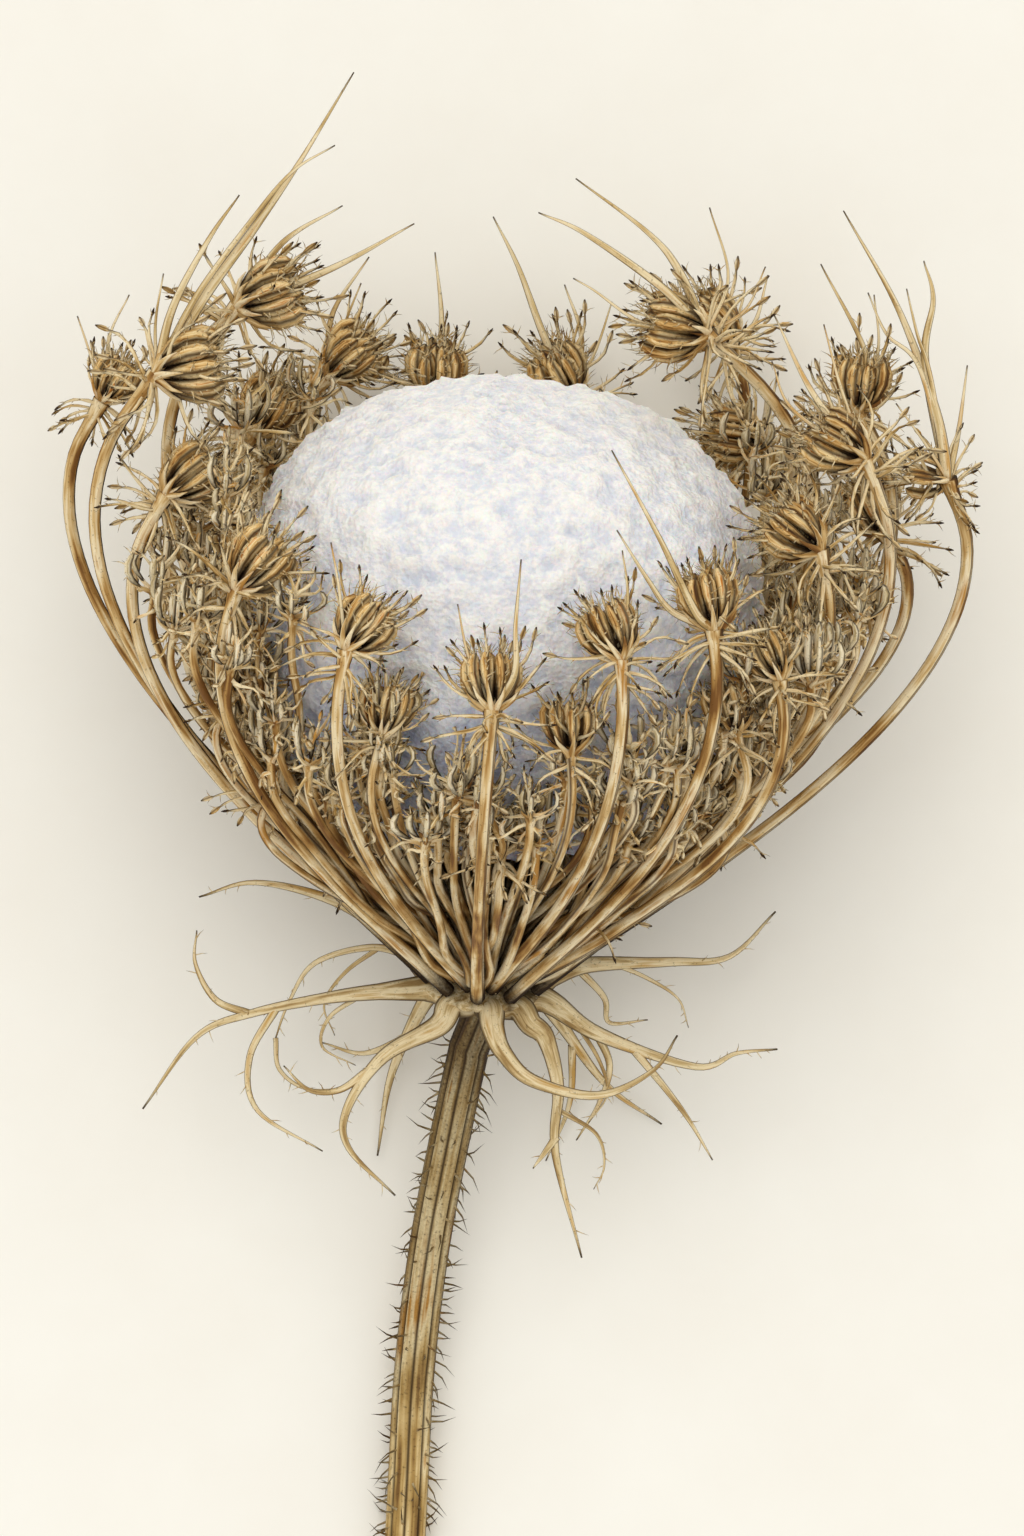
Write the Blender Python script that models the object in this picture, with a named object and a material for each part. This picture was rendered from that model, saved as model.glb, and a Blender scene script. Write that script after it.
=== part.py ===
"""Wild carrot seed head, cut with its stalk and laid on its side, with a ball of snow in its cup.

Metres, +Z up. +Y runs from the cut stalk to the mouth of the cup. The origin is on the surface that the
head lies on, under the flat spot of its lowest ray. Lengths in the tables below are millimetres, counted
from the node where the rays leave the stalk.
"""

import math
import random

import bmesh
import bpy
import numpy as np
from mathutils import Matrix, Vector, noise

MM = 0.001

# Driving dimensions, in millimetres and degrees
NODE_HEIGHT = 12.6
REST_SPOT = (4.7, 27.4)
CUP_RISE = 24.0
CUP_LEAN = 3.8

# The stalk and the node on top of it
STALK_RADIUS = 1.5
STALK_RIBS = 8
RIB_HIGH, RIB_LOW = 1.06, 0.9
NODE_RADIUS = 4.9
NODE_DOME = 1.1
NODE_FLARE = ((-2.4, 1.5), (-1.3, 2.2), (-0.75, 3.6), (-0.45, 4.6), (0.0, NODE_RADIUS))
NODE_CROWN = (3.3, 1.6, 0.0)
BRISTLES = 54
BRISTLE_RADIUS = 0.22
BRISTLE_LENGTH = 1.5

# The rays
RAY_RADIUS, RAY_TIP_RADIUS = 0.56, 0.42
INNER_RAY_RADIUS, INNER_RAY_TIP_RADIUS = 0.4, 0.34
RAY_STEPS, INNER_RAY_STEPS = 10, 7
OUTER_ROOT_RINGS = (4.4, 3.38)
FIRST_ROOT_TURN = -8.0
ROOT_GAP = 0.55

# The umbellets at the rays' ends
HUB_RADIUS = 0.9
INNER_SIZE = 0.82
FRUITS, INNER_FRUITS = 8, 6
FRUIT_RADIUS, FRUIT_FOOT, FRUIT_TIP = 0.66, 0.26, 0.3
FRUIT_REACH = 4.0
FRUIT_CAP = 98.0
SPINE_RADIUS = 0.2
SPINE_LENGTH = 2.16
BRACTEOLES = 4
BRACTEOLE_RADIUS = 0.3
BRACTEOLE_LENGTH = 3.9
LONG_BRACTEOLE_RADIUS, LONG_BRACTEOLE_TIP = 0.46, 0.16

# The bracts and the snow
BRACT_RADIUS, BRACT_TIP = 0.56, 0.3
SNOW_RADIUS = 19.8
SNOW_SHIFT = -0.6
SNOW_HALF_HEIGHT = 17.2
SNOW_CENTRE = 30.2
SNOW_SHOULDER = 2.5
SNOW_LUMPS = 0.02
HUB_FROM_SNOW = 1.4

# Clear space between pieces, and the rounds of bending that make it
GAP = 0.15
SETTLE_ROUNDS = 50
SEED = 11
GOLDEN_TURN = math.pi * (3 - math.sqrt(5))

# The cup's own axis, from the node out through its mouth
RISE = math.radians(CUP_RISE)
LEAN = math.radians(CUP_LEAN)
AXIS = Vector((math.sin(LEAN) * math.cos(RISE), math.cos(LEAN) * math.cos(RISE), math.sin(RISE)))
TOP = Vector((0, -math.sin(RISE), math.cos(RISE))).normalized()
SIDE = AXIS.cross(TOP).normalized()
TOP = SIDE.cross(AXIS).normalized()

# Outer umbellets, in order round the cup from the one on top: the hub, how much wider than the hub the ray
# swells on its way there, and the way that the fruits face, across and along the plate of the photo
OUTER_UMBELLETS = (
    ((0.6, 20.6, 38.5), -0.3, (-3, 42)),
    ((10.2, 24.4, 36.6), -0.6, (-13, 35)),
    ((17.0, 26.6, 34.4), -0.7, (0, 35)),
    ((22.0, 22.9, 28.4), -1.2, (-7, 30)),
    ((25.0, 32.6, 25.0), -0.3, (-30, 30)),
    ((28.4, 39.4, 22.5), 1.4, (-38, 28)),
    ((34.7, 37.9, 14.4), 0.1, (-45, 10)),
    ((28.0, 43.1, 13.4), 2.4, (18, 35)),
    ((16.6, 48.8, 18.6), 9.5, (-48, 13)),
    ((30.1, 34.1, 2.9), 1.0, (-4, 30)),
    ((20.9, 40.9, 0.3), 2.0, (-55, 15)),
    ((18.6, 48.4, -5.2), 2.0, (-18, 30)),
    ((6.6, 44.5, -5.7), 3.0, (-10, 25)),
    ((-3.8, 44.3, -4.2), 3.2, (-2, 25)),
    ((-11.8, 46.1, -4.8), 3.4, (20, 25)),
    ((-17.4, 41.6, 2.2), 2.0, (5, 20)),
    ((-18.5, 51.0, 12.0), 4.6, (27, 15)),
    ((-28.7, 43.9, 12.1), 0.5, (8, 35)),
    ((-24.5, 45.8, 22.0), 3.2, (50, 13)),
    ((-23.8, 36.8, 19.7), 1.0, (30, 35)),
    ((-18.5, 29.6, 29.8), -0.6, (23, 35)),
    ((-10.3, 25.1, 35.9), -1.1, (17, 25)),
)

# Tiers of short rays inside the cup: how many, hub's distance from the axis, hub's height, root ring, turn
INNER_TIERS = (
    (10, 23.0, 28.5, 2.42, 12.0),
    (6, 18.4, 19.5, 1.42, 0.0),
    (3, 9.5, 11.8, 0.58, 40.0),
)

# Long bracteoles: outer hub that each grows from, then the points that it passes
LONG_BRACTEOLES = (
    (0, ((2.2, 23.2, 40.0), (2.3, 26.9, 41.0), (2.7, 31.7, 42.0))),
    (2, ((15.6, 27.9, 36.0), (12.9, 33.4, 38.5), (9.4, 39.8, 39.5))),
    (2, ((13.9, 27.9, 35.0), (12.0, 30.4, 36.0), (9.8, 33.9, 37.0))),
    (5, ((24.5, 44.2, 24.0), (21.6, 50.1, 23.0))),
    (6, ((33.8, 43.0, 15.0), (31.0, 50.7, 14.5), (26.9, 58.1, 13.0))),
    (6, ((33.0, 46.7, 15.0), (33.6, 51.4, 15.5), (32.9, 54.3, 15.0))),
    (6, ((35.5, 41.4, 13.8), (36.2, 46.5, 13.0))),
    (7, ((28.6, 47.2, 14.0), (25.2, 54.1, 13.0))),
    (8, ((14.5, 53.5, 19.5), (12.1, 56.4, 19.5), (6.8, 60.4, 18.0))),
    (8, ((13.2, 52.2, 21.2), (7.5, 56.2, 21.4), (4.0, 57.8, 20.4))),
    (11, ((20.4, 50.0, -4.0), (21.4, 53.6, -4.0))),
    (12, ((4.4, 49.1, -5.0), (2.5, 54.2, -4.0), (0.6, 58.0, -3.0))),
    (12, ((7.3, 48.8, -5.4), (6.0, 52.9, -5.0))),
    (13, ((-3.3, 49.9, -4.0), (-3.8, 55.3, -3.0))),
    (14, ((-11.6, 50.6, -5.2), (-8.8, 55.0, -5.0))),
    (16, ((-15.2, 55.7, 13.0), (-10.7, 58.5, 12.0))),
    (16, ((-11.4, 53.8, 14.0), (-5.3, 57.1, 14.5))),
    (18, ((-21.0, 51.4, 22.5), (-17.3, 56.5, 22.0), (-13.9, 61.5, 21.0), (-9.8, 68.3, 20.0))),
    (18, ((-23.3, 50.6, 23.8), (-20.6, 55.7, 25.0), (-18.3, 59.0, 25.6))),
)

# Bracts under the node: each is a list of branches, and the first branch is its trunk
BRACTS = (
    (
        ((-5.0, 1.6, -1.2), (-6.4, 3.2, -1.8), (-11.4, 6.2, -3.5), (-17.4, 7.6, -5.0), (-21.7, 6.5, -6.5)),
        ((-5.2, 1.9, -1.3), (-8.6, 2.7, -2.6), (-12.9, 1.5, -4.5), (-14.9, -1.5, -6.0), (-16.0, -4.5, -7.0)),
    ),
    (
        ((-5.3, -0.4, 0.9), (-11.4, -1.0, 1.7), (-17.8, -2.3, 1.0), (-21.9, -4.1, 0.5), (-25.9, -9.5, -2.0)),
        ((-17.8, -2.3, 1.0), (-20.4, -1.2, 0.5), (-21.9, 1.5, 0.0), (-21.8, 4.0, -0.5)),
        ((-15.7, -1.7, 1.3), (-17.8, -5.6, 0.5), (-17.2, -9.6, 0.0), (-12.3, -12.7, -1.5)),
    ),
    (
        ((-3.6, -3.2, 3.3), (-7.7, -5.5, 4.4), (-10.4, -9.4, 4.2), (-10.3, -12.4, 3.2), (-6.8, -16.0, 1.5)),
        ((-8.9, -6.6, 4.5), (-11.0, -8.0, 4.4), (-13.3, -8.0, 3.6), (-15.2, -6.2, 2.8)),
    ),
    (
        ((0.6, -3.4, 4.7), (1.4, -5.2, 5.2), (3.6, -7.3, 5.5), (8.5, -8.4, 5.0), (12.7, -6.5, 3.8), (14.5, -3.9, 3)),
    ),
    (
        ((3.4, -3.0, 3.2), (4.6, -4.2, 2.6), (5.5, -8.0, 1.0), (5.3, -12.8, -1.0), (7.3, -20.8, -4.0)),
        ((5.4, -11.6, -0.5), (3.6, -14.0, -0.8)),
    ),
    (
        ((5.2, -1.6, 1.2), (8.7, -3.9, 0.5), (15.9, -6.3, -0.8), (19.0, -5.3, -1.6), (22.1, -5.0, -2.5)),
        ((11.3, -5.1, 0.1), (13.9, -8.3, -1.0), (15.5, -10.5, -2.2), (17.2, -13.4, -4.0)),
        ((8.4, -3.7, 0.5), (9.4, -6.2, -0.7), (8.7, -8.9, -1.8), (6.9, -11.9, -3.4)),
    ),
    (
        ((5.2, 0.7, -1.2), (7.9, 1.4, -2.0), (13.9, 1.6, -3.5), (18.5, 2.0, -4.5), (22.0, 5.4, -5.5)),
        ((6.9, 1.2, -1.7), (9.0, -1.1, -3.0), (9.4, -3.0, -3.8), (12.3, -2.8, -4.8)),
    ),
    (
        ((-3.3, 0.2, -4.2), (-5.0, -2.2, -7.2), (-7.2, -7.2, -10.6), (-8.2, -13.2, -11.7)),
        ((-5.6, -4.0, -8.5), (-9.2, -5.4, -10.8), (-12.4, -4.6, -11.8)),
    ),
    (
        ((3.2, 0.3, -4.2), (5.5, -2.8, -7.6), (9.2, -7.8, -11.0), (13.4, -10.8, -11.8)),
        ((6.6, -4.8, -9.0), (6.4, -9.2, -11.2), (4.6, -13.6, -11.8)),
    ),
)

# The stalk's line from its cut end up to the node
STALK_LINE = (
    (-6.2, -44.4, -11.02),
    (-5.9, -38.6, -10.75),
    (-5.4, -29.6, -9.6),
    (-4.3, -20.4, -7.6),
    (-2.7, -11.8, -4.8),
    (-1.2, -4.8, -2.1),
)

# Colour, roughness and metallic value of each finish
FINISHES = {
    "dry_stalk": ((0.36, 0.25, 0.12), 0.72, 0.0),
    "dry_ray": ((0.47, 0.34, 0.17), 0.68, 0.0),
    "dry_bract": ((0.56, 0.44, 0.26), 0.7, 0.0),
    "snow": ((0.9, 0.92, 0.96), 0.85, 0.0),
}


def clear_scene():
    """Removes every object of the scene that the script starts in."""
    for obj in list(bpy.data.objects):
        bpy.data.objects.remove(obj)


def finish(name):
    """The material of one finish, made once."""
    found = bpy.data.materials.get(name)
    if found:
        return found
    colour, roughness, metallic = FINISHES[name]
    material = bpy.data.materials.new(name)
    material.use_nodes = True
    shader = material.node_tree.nodes["Principled BSDF"]
    shader.inputs["Base Color"].default_value = (*colour, 1.0)
    shader.inputs["Roughness"].default_value = roughness
    shader.inputs["Metallic"].default_value = metallic
    return material


def smooth_line(points, steps):
    """Points on a Catmull-Rom curve through the given ones, with this many steps between each two."""
    points = [Vector(p) for p in points]
    ends = [2 * points[0] - points[1], *points, 2 * points[-1] - points[-2]]
    line = []
    for a, b, c, d in zip(ends, ends[1:], ends[2:], ends[3:]):
        for step in range(steps):
            t = step / steps
            bend = (2 * a - 5 * b + 4 * c - d) * t**2 + (3 * b - a - 3 * c + d) * t**3
            line.append(0.5 * (2 * b + (c - a) * t + bend))
    return [*line, points[-1]]


def bezier(points, steps):
    """Points on a cubic Bezier curve, ends included."""
    line = []
    for step in range(steps + 1):
        t = step / steps
        weights = ((1 - t) ** 3, 3 * t * (1 - t) ** 2, 3 * t**2 * (1 - t), t**3)
        line.append(sum((w * p for w, p in zip(weights, points)), Vector((0, 0, 0))))
    return line


def round_axis(turn):
    """The direction out from the cup's axis at this turn in degrees, where 0 is the top."""
    angle = math.radians(turn)
    return TOP * math.cos(angle) + SIDE * math.sin(angle)


def dome_height(radius):
    """Height of the node's dome at this distance from the axis."""
    return NODE_DOME * (1 - (radius / NODE_RADIUS) ** 2)


def tube(line, radii, sides):
    """A closed tube along a line, with one radius for each point and a point at an end of radius 0."""
    points, faces, rings = [], [], []
    last = len(line) - 1
    for i, (centre, radius) in enumerate(zip(line, radii)):
        along = (line[min(i + 1, last)] - line[max(i - 1, 0)]).normalized()
        across = Vector((0, 0, 1)).cross(along)
        if across.length < 0.05:
            across = Vector((1, 0, 0)).cross(along)
        across.normalize()
        rise = along.cross(across)
        if radius == 0:
            rings.append([len(points)] * sides)
            points.append(centre)
            continue
        rings.append(list(range(len(points), len(points) + sides)))
        for side in range(sides):
            angle = 2 * math.pi * (side + 0.5) / sides
            points.append(centre + (across * math.cos(angle) + rise * math.sin(angle)) * radius)
    for low, high in zip(rings, rings[1:]):
        for side in range(sides):
            after = (side + 1) % sides
            quad = (low[side], low[after], high[after], high[side])
            faces.append(tuple(dict.fromkeys(quad)))
    if radii[0]:
        faces.append(tuple(reversed(rings[0])))
    if radii[-1]:
        faces.append(tuple(rings[-1]))
    return points, faces


def ball(centre, radius):
    """A low round core."""
    shape = bmesh.new()
    bmesh.ops.create_icosphere(shape, subdivisions=1, radius=radius, matrix=Matrix.Translation(centre))
    points = [v.co.copy() for v in shape.verts]
    faces = [tuple(v.index for v in f.verts) for f in shape.faces]
    shape.free()
    return points, faces


def placed(point):
    """A point of the tables, in millimetres from the node, as metres in the part's frame."""
    return Vector((point[0] - REST_SPOT[0], point[1] - REST_SPOT[1], point[2] + NODE_HEIGHT)) * MM


def make_object(name, points, faces, material):
    """One object from points in millimetres from the node."""
    mesh = bpy.data.meshes.new(name)
    mesh.from_pydata([placed(p) for p in points], [], faces)
    mesh.materials.append(finish(material))
    shape = bmesh.new()
    shape.from_mesh(mesh)
    bmesh.ops.recalc_face_normals(shape, faces=shape.faces)
    shape.to_mesh(mesh)
    shape.free()
    obj = bpy.data.objects.new(name, mesh)
    bpy.context.scene.collection.objects.link(obj)
    return obj


def make_node(name, shapes, material):
    """One object that joins all the shapes, by one Boolean union on a collection."""
    base = make_object(name, *shapes[0], material)
    if len(shapes) == 1:
        return
    group = bpy.data.collections.new(name + "_pieces")
    for i, shape in enumerate(shapes[1:]):
        piece = make_object(f"{name}_piece_{i}", *shape, material)
        bpy.context.scene.collection.objects.unlink(piece)
        group.objects.link(piece)
    union = base.modifiers.new("union", "BOOLEAN")
    union.operation = "UNION"
    union.operand_type = "COLLECTION"
    union.collection = group
    union.solver = "EXACT"
    graph = bpy.context.evaluated_depsgraph_get()
    joined = bpy.data.meshes.new_from_object(base.evaluated_get(graph))
    base.modifiers.clear()
    base.data = joined
    for piece in list(group.objects):
        bpy.data.objects.remove(piece)
    bpy.data.collections.remove(group)
    base.data.shade_smooth()
    base.data.set_sharp_from_angle(angle=math.radians(40))


class Room:
    """What is placed so far, as rods with round ends, so that a new rod can keep clear of it."""

    def __init__(self):
        self.starts, self.ends, self.radii, self.owners = [], [], [], []

    def add(self, owner, start, end, radius):
        self.starts.append(tuple(start))
        self.ends.append(tuple(end))
        self.radii.append(radius)
        self.owners.append(owner)

    def distance(self, owner, start, end):
        """Clear distance from a line to the nearest rod of any other owner."""
        others = np.array([o != owner for o in self.owners])
        if not others.any():
            return math.inf
        a = np.array(self.starts)[others]
        run = np.array(self.ends)[others] - a
        shares = np.linspace(0, 1, 7)
        line = np.array(start) + shares[:, None] * (np.array(end) - np.array(start))
        to_line = line[:, None, :] - a[None]
        along = np.clip((to_line * run).sum(2) / np.maximum((run**2).sum(1), 1e-9), 0, 1)
        apart = np.linalg.norm(to_line - along[..., None] * run, axis=2)
        return float((apart - np.array(self.radii)[others]).min())

    def fits(self, owner, start, end, radius):
        """True if a rod here keeps clear of the others, of the snow and of the surface below."""
        lowest = min(start.z, end.z) + NODE_HEIGHT - radius
        if lowest < GAP:
            return False
        shares = [i / 4 for i in range(5)]
        if min(snow_distance(start.lerp(end, share)) for share in shares) < radius + GAP:
            return False
        return self.distance(owner, start, end) > radius + GAP


def snow_share(out, height):
    """1 on the snow's surface, less inside it: a round shape with fuller shoulders than a ball."""
    power = SNOW_SHOULDER
    return ((out / SNOW_RADIUS) ** power + abs(height / SNOW_HALF_HEIGHT) ** power) ** (1 / power)


def snow_distance(point):
    """Rough distance from a point to the snow, negative inside it."""
    point = point - SIDE * SNOW_SHIFT
    height = point.dot(AXIS)
    out = (point - AXIS * height).length
    return (snow_share(out, height - SNOW_CENTRE) - 1) * min(SNOW_RADIUS, SNOW_HALF_HEIGHT)


def ray_line(hub, root_turn, root_radius, wider, first_share, heights, steps):
    """The line of a ray: out from the node, round the belly of the cup, and in to its hub."""
    hub = Vector(hub)
    height = hub.dot(AXIS)
    out = hub - AXIS * height
    reach = out.length
    out.normalize()
    root_out = round_axis(root_turn)
    root = root_out * root_radius + AXIS * (dome_height(root_radius) + ROOT_GAP)
    swell = reach + wider
    first = first_share * swell
    second = (swell - 0.189 * first - 0.343 * reach) / 0.441
    handles = (
        root,
        (root_out * 0.4 + out * 0.6).normalized() * first + AXIS * heights[0],
        out * second + AXIS * heights[1],
        hub,
    )
    return bezier(handles, steps)


def pressed(line, radius):
    """A line held up where it would sink into the surface that the head lies on."""
    return [Vector((p.x, p.y, max(p.z, radius - NODE_HEIGHT))) for p in line]


def nearest(a_start, a_end, b_start, b_end):
    """Closest points of two lines, for arrays of them: the gap from b to a, and the share along each."""
    a_run, b_run, apart = a_end - a_start, b_end - b_start, a_start - b_start
    aa, bb, ab = (a_run**2).sum(-1), (b_run**2).sum(-1), (a_run * b_run).sum(-1)
    a_apart, b_apart = (a_run * apart).sum(-1), (b_run * apart).sum(-1)
    on_a = np.clip((ab * b_apart - a_apart * bb) / np.maximum(aa * bb - ab**2, 1e-9), 0, 1)
    on_b = np.clip((ab * on_a + b_apart) / bb, 0, 1)
    on_a = np.clip((ab * on_b - a_apart) / aa, 0, 1)
    return apart + a_run * on_a[..., None] - b_run * on_b[..., None], on_a, on_b


def settle(rays, fixed):
    """Bends the rays smoothly, ends held, until they keep clear of each other and of the fixed rods."""
    points = np.array([tuple(p) for _, _, line in rays for p in line])
    starts, owners, radii, held = [], [], [], []
    for owner, (_, radius, line) in enumerate(rays):
        first = len(held)
        starts += range(first, first + len(line) - 1)
        owners += [owner] * (len(line) - 1)
        radii += [radius] * (len(line) - 1)
        held += [True] + [False] * (len(line) - 2) + [True]
    starts, owners, radii, held = (np.array(found) for found in (starts, owners, radii, held))
    fixed_start = np.array([tuple(start) for start, _, _ in fixed])
    fixed_end = np.array([tuple(end) for _, end, _ in fixed])
    fixed_radii = np.array([radius for _, _, radius in fixed])
    floor = np.array([radius * math.sqrt(0.5) - NODE_HEIGHT for _, radius, line in rays for _ in line])
    thick = np.array([radius for _, radius, line in rays for _ in line])
    axis = np.array(AXIS)
    one, two = np.triu_indices(len(starts), 1)
    apart_owners = owners[one] != owners[two]
    one, two = one[apart_owners], two[apart_owners]
    for _ in range(SETTLE_ROUNDS):
        move = np.zeros_like(points)
        a, b = points[starts], points[starts + 1]
        gap, on_one, on_two = nearest(a[one], b[one], a[two], b[two])
        push(move, gap, on_one, starts[one], radii[one] + radii[two], 0.5)
        push(move, -gap, on_two, starts[two], radii[one] + radii[two], 0.5)
        gap, on_ray, _ = nearest(a[:, None], b[:, None], fixed_start[None], fixed_end[None])
        need = radii[:, None] + fixed_radii[None]
        push(move, gap.reshape(-1, 3), on_ray.reshape(-1), np.repeat(starts, len(fixed)), need.reshape(-1), 1.0)
        from_snow = points - np.array(SIDE) * SNOW_SHIFT
        height = from_snow @ axis
        out = from_snow - height[:, None] * axis
        share = snow_share(np.linalg.norm(out, axis=1), height - SNOW_CENTRE)
        sunk = thick + 2 * GAP - (share - 1) * min(SNOW_RADIUS, SNOW_HALF_HEIGHT)
        away = out / np.maximum(np.linalg.norm(out, axis=1), 1e-6)[:, None]
        move += away * np.maximum(sunk, 0)[:, None]
        move[held] = 0
        smoothed = move.copy()
        smoothed[1:-1] = 0.5 * move[1:-1] + 0.25 * move[:-2] + 0.25 * move[2:]
        smoothed[held] = 0
        points += smoothed
        points[:, 2] = np.maximum(points[:, 2], floor)
    settled, first = [], 0
    for name, radius, line in rays:
        settled.append((name, radius, [Vector(p) for p in points[first : first + len(line)]]))
        first += len(line)
    return settled


def push(move, gap, share, starts, need, part):
    """Adds to the moves of a rod's two ends what takes it clear of the rod that it is too near."""
    far = np.linalg.norm(gap, axis=1)
    lack = need + 1.5 * GAP - far
    near = lack > 0
    step = gap[near] / np.maximum(far[near], 1e-6)[:, None] * (part * lack[near])[:, None]
    np.add.at(move, starts[near], step * (1 - share[near])[:, None])
    np.add.at(move, starts[near] + 1, step * share[near][:, None])


def outer_rays():
    """Name, radius and line of each long ray."""
    rays = []
    count = len(OUTER_UMBELLETS)
    for i, (hub, wider, _) in enumerate(OUTER_UMBELLETS):
        turn = FIRST_ROOT_TURN + 360 * i / count
        height = Vector(hub).dot(AXIS)
        heights = (max(0.24 * height, 9.6), 0.64 * height)
        line = ray_line(hub, turn, OUTER_ROOT_RINGS[i % 2], wider, 0.51, heights, RAY_STEPS)
        rays.append((f"ray_{i + 1:02d}", RAY_RADIUS, pressed(line, RAY_RADIUS * math.sqrt(0.5))))
    return rays


def inner_rays():
    """Name, radius and line of each short ray inside the cup."""
    rng = random.Random(SEED)
    rays = []
    for tier, (count, reach, height, root, first_turn) in enumerate(INNER_TIERS):
        for i in range(count):
            turn = first_turn + 360 * i / count
            out = round_axis(turn + rng.uniform(-5, 5))
            hub = out * (reach + rng.uniform(-0.5, 0.5)) + AXIS * (height + rng.uniform(-1.3, 1.3))
            hub += out * max(0, HUB_FROM_SNOW - snow_distance(hub))
            heights = (0.38 * hub.dot(AXIS), 0.76 * hub.dot(AXIS))
            line = ray_line(hub, turn, root, 0.0, 0.42, heights, INNER_RAY_STEPS)
            name = f"inner_ray_{tier + 1}_{i + 1:02d}"
            rays.append((name, INNER_RAY_RADIUS, pressed(line, INNER_RAY_RADIUS)))
    return rays


def spread(direction, count, widest, turn):
    """Unit vectors spread evenly over a cap round a direction, out to the widest angle in degrees."""
    direction = direction.normalized()
    across = direction.orthogonal().normalized()
    beside = direction.cross(across)
    low = math.cos(math.radians(widest))
    found = []
    for i in range(count):
        along = 1 - (1 - low) * (i + 0.5) / count
        out = math.sqrt(1 - along**2)
        angle = GOLDEN_TURN * i + turn
        found.append(direction * along + (across * math.cos(angle) + beside * math.sin(angle)) * out)
    return found


def fruit(hub, way, size):
    """One fruit on its short stalk: a spindle that ends in a spine."""
    stops = ((0.08, FRUIT_FOOT), (0.55, FRUIT_RADIUS), (1.0, 0.0))
    line = [hub + way * (share * FRUIT_REACH * size) for share, _ in stops]
    return tube(line, [radius * size for _, radius in stops], 4)


def needle(start, end, radius):
    """A thin spine with its root in what carries it."""
    return tube([start, end], [radius, 0.0], 3)


def add_fruits(room, name, hub, way, size, count, turn):
    """The fruits of an umbellet that have room, every other one with a spine on its side."""
    shapes = []
    reach = FRUIT_REACH * size
    for i, out in enumerate(spread(way, count, FRUIT_CAP, turn)):
        body = (hub + out * (0.36 * reach), hub + out * (0.78 * reach), FRUIT_RADIUS * size)
        tip = (body[1], hub + out * reach, FRUIT_TIP)
        if not (room.fits(name, *body) and room.fits(name, *tip)):
            continue
        room.add(name, *body)
        room.add(name, *tip)
        shapes.append(fruit(hub, out, size))
        if i % 2:
            continue
        outward = out.cross(Vector((math.cos(i * GOLDEN_TURN), math.sin(i * GOLDEN_TURN), 0.3))).normalized()
        root = hub + out * (0.6 * reach)
        end = root + (out * 0.5 + outward).normalized() * SPINE_LENGTH
        if room.fits(name, root.lerp(end, 0.4), end, SPINE_RADIUS):
            room.add(name, root, end, SPINE_RADIUS)
            shapes.append(needle(root, end, SPINE_RADIUS))
    return shapes


def add_short_bracteoles(room, name, hub, way, turn):
    """Thin bracteoles that spread out and a little back under an umbellet."""
    shapes = []
    across = way.orthogonal().normalized()
    for i in range(BRACTEOLES):
        out = Matrix.Rotation(turn + 2 * math.pi * i / BRACTEOLES, 3, way) @ across
        end = hub + (out - way * 0.25).normalized() * BRACTEOLE_LENGTH
        if room.fits(name, hub.lerp(end, 0.3), end, BRACTEOLE_RADIUS):
            room.add(name, hub, end, BRACTEOLE_RADIUS)
            shapes.append(needle(hub, end, BRACTEOLE_RADIUS))
    return shapes


def add_long_bracteole(room, name, hub, points):
    """A long bracteole on a smooth line, as far as it has room."""
    line = smooth_line([hub, *points], 2)
    reach = 2
    while reach < len(line) and room.fits(name, line[reach - 1], line[reach], LONG_BRACTEOLE_RADIUS):
        reach += 1
    if reach < 4:
        return []
    line = line[:reach]
    for start, end in zip(line, line[1:]):
        room.add(name, start, end, LONG_BRACTEOLE_RADIUS)
    return [tube(line, tapered(len(line), LONG_BRACTEOLE_RADIUS, LONG_BRACTEOLE_TIP), 4)]


def tapered(count, root, tip):
    """Radii that shrink evenly from the root to the tip, with a point at the very end."""
    return [root + (tip - root) * i / (count - 1) for i in range(count - 1)] + [0.0]


def facing(hub, way):
    """The direction that an umbellet's fruits face: the photo's way, leaning in over the snow."""
    height = hub.dot(AXIS)
    inward = (AXIS * height - hub).normalized()
    return (Vector((*way, 0)).normalized() + 0.35 * inward).normalized()


def ray_radii(count, radius, tip):
    """A ray thins a little over its last third, towards its hub."""
    shares = [max(0, i / (count - 1) - 0.65) / 0.35 for i in range(count)]
    return [radius + (tip - radius) * share for share in shares]


def build_rays():
    """Every ray with its umbellet, each as one node."""
    room = Room()
    fixed = [(start, end, BRACT_RADIUS) for bract in BRACTS for start, end in bract_rods(bract)]
    rays = settle(outer_rays() + inner_rays(), fixed)
    for name, radius, line in rays:
        for start, end in zip(line, line[1:]):
            room.add(name, start, end, radius)
    for start, end, radius in fixed:
        room.add("bracts", start, end, radius)
    shapes = {name: [] for name, _, _ in rays}
    for owner, points in LONG_BRACTEOLES:
        name, _, line = rays[owner]
        shapes[name] += add_long_bracteole(room, name, line[-1], points)
    for number, (name, radius, line) in enumerate(rays):
        hub = line[-1]
        if number < len(OUTER_UMBELLETS):
            sides, tip, size, count = 4, RAY_TIP_RADIUS, 1.0, FRUITS
            way = facing(hub, OUTER_UMBELLETS[number][2])
        else:
            sides, tip, size, count = 3, INNER_RAY_TIP_RADIUS, INNER_SIZE, INNER_FRUITS
            way = (hub - line[-2]).normalized()
        shapes[name] += add_fruits(room, name, hub, way, size, count, number * 1.3)
        if number < len(OUTER_UMBELLETS):
            shapes[name] += add_short_bracteoles(room, name, hub, way, number * 0.9)
        stem = tube(line, ray_radii(len(line), radius, tip), sides)
        make_node(name, [stem, ball(hub, HUB_RADIUS * size), *shapes[name]], "dry_ray")


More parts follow.
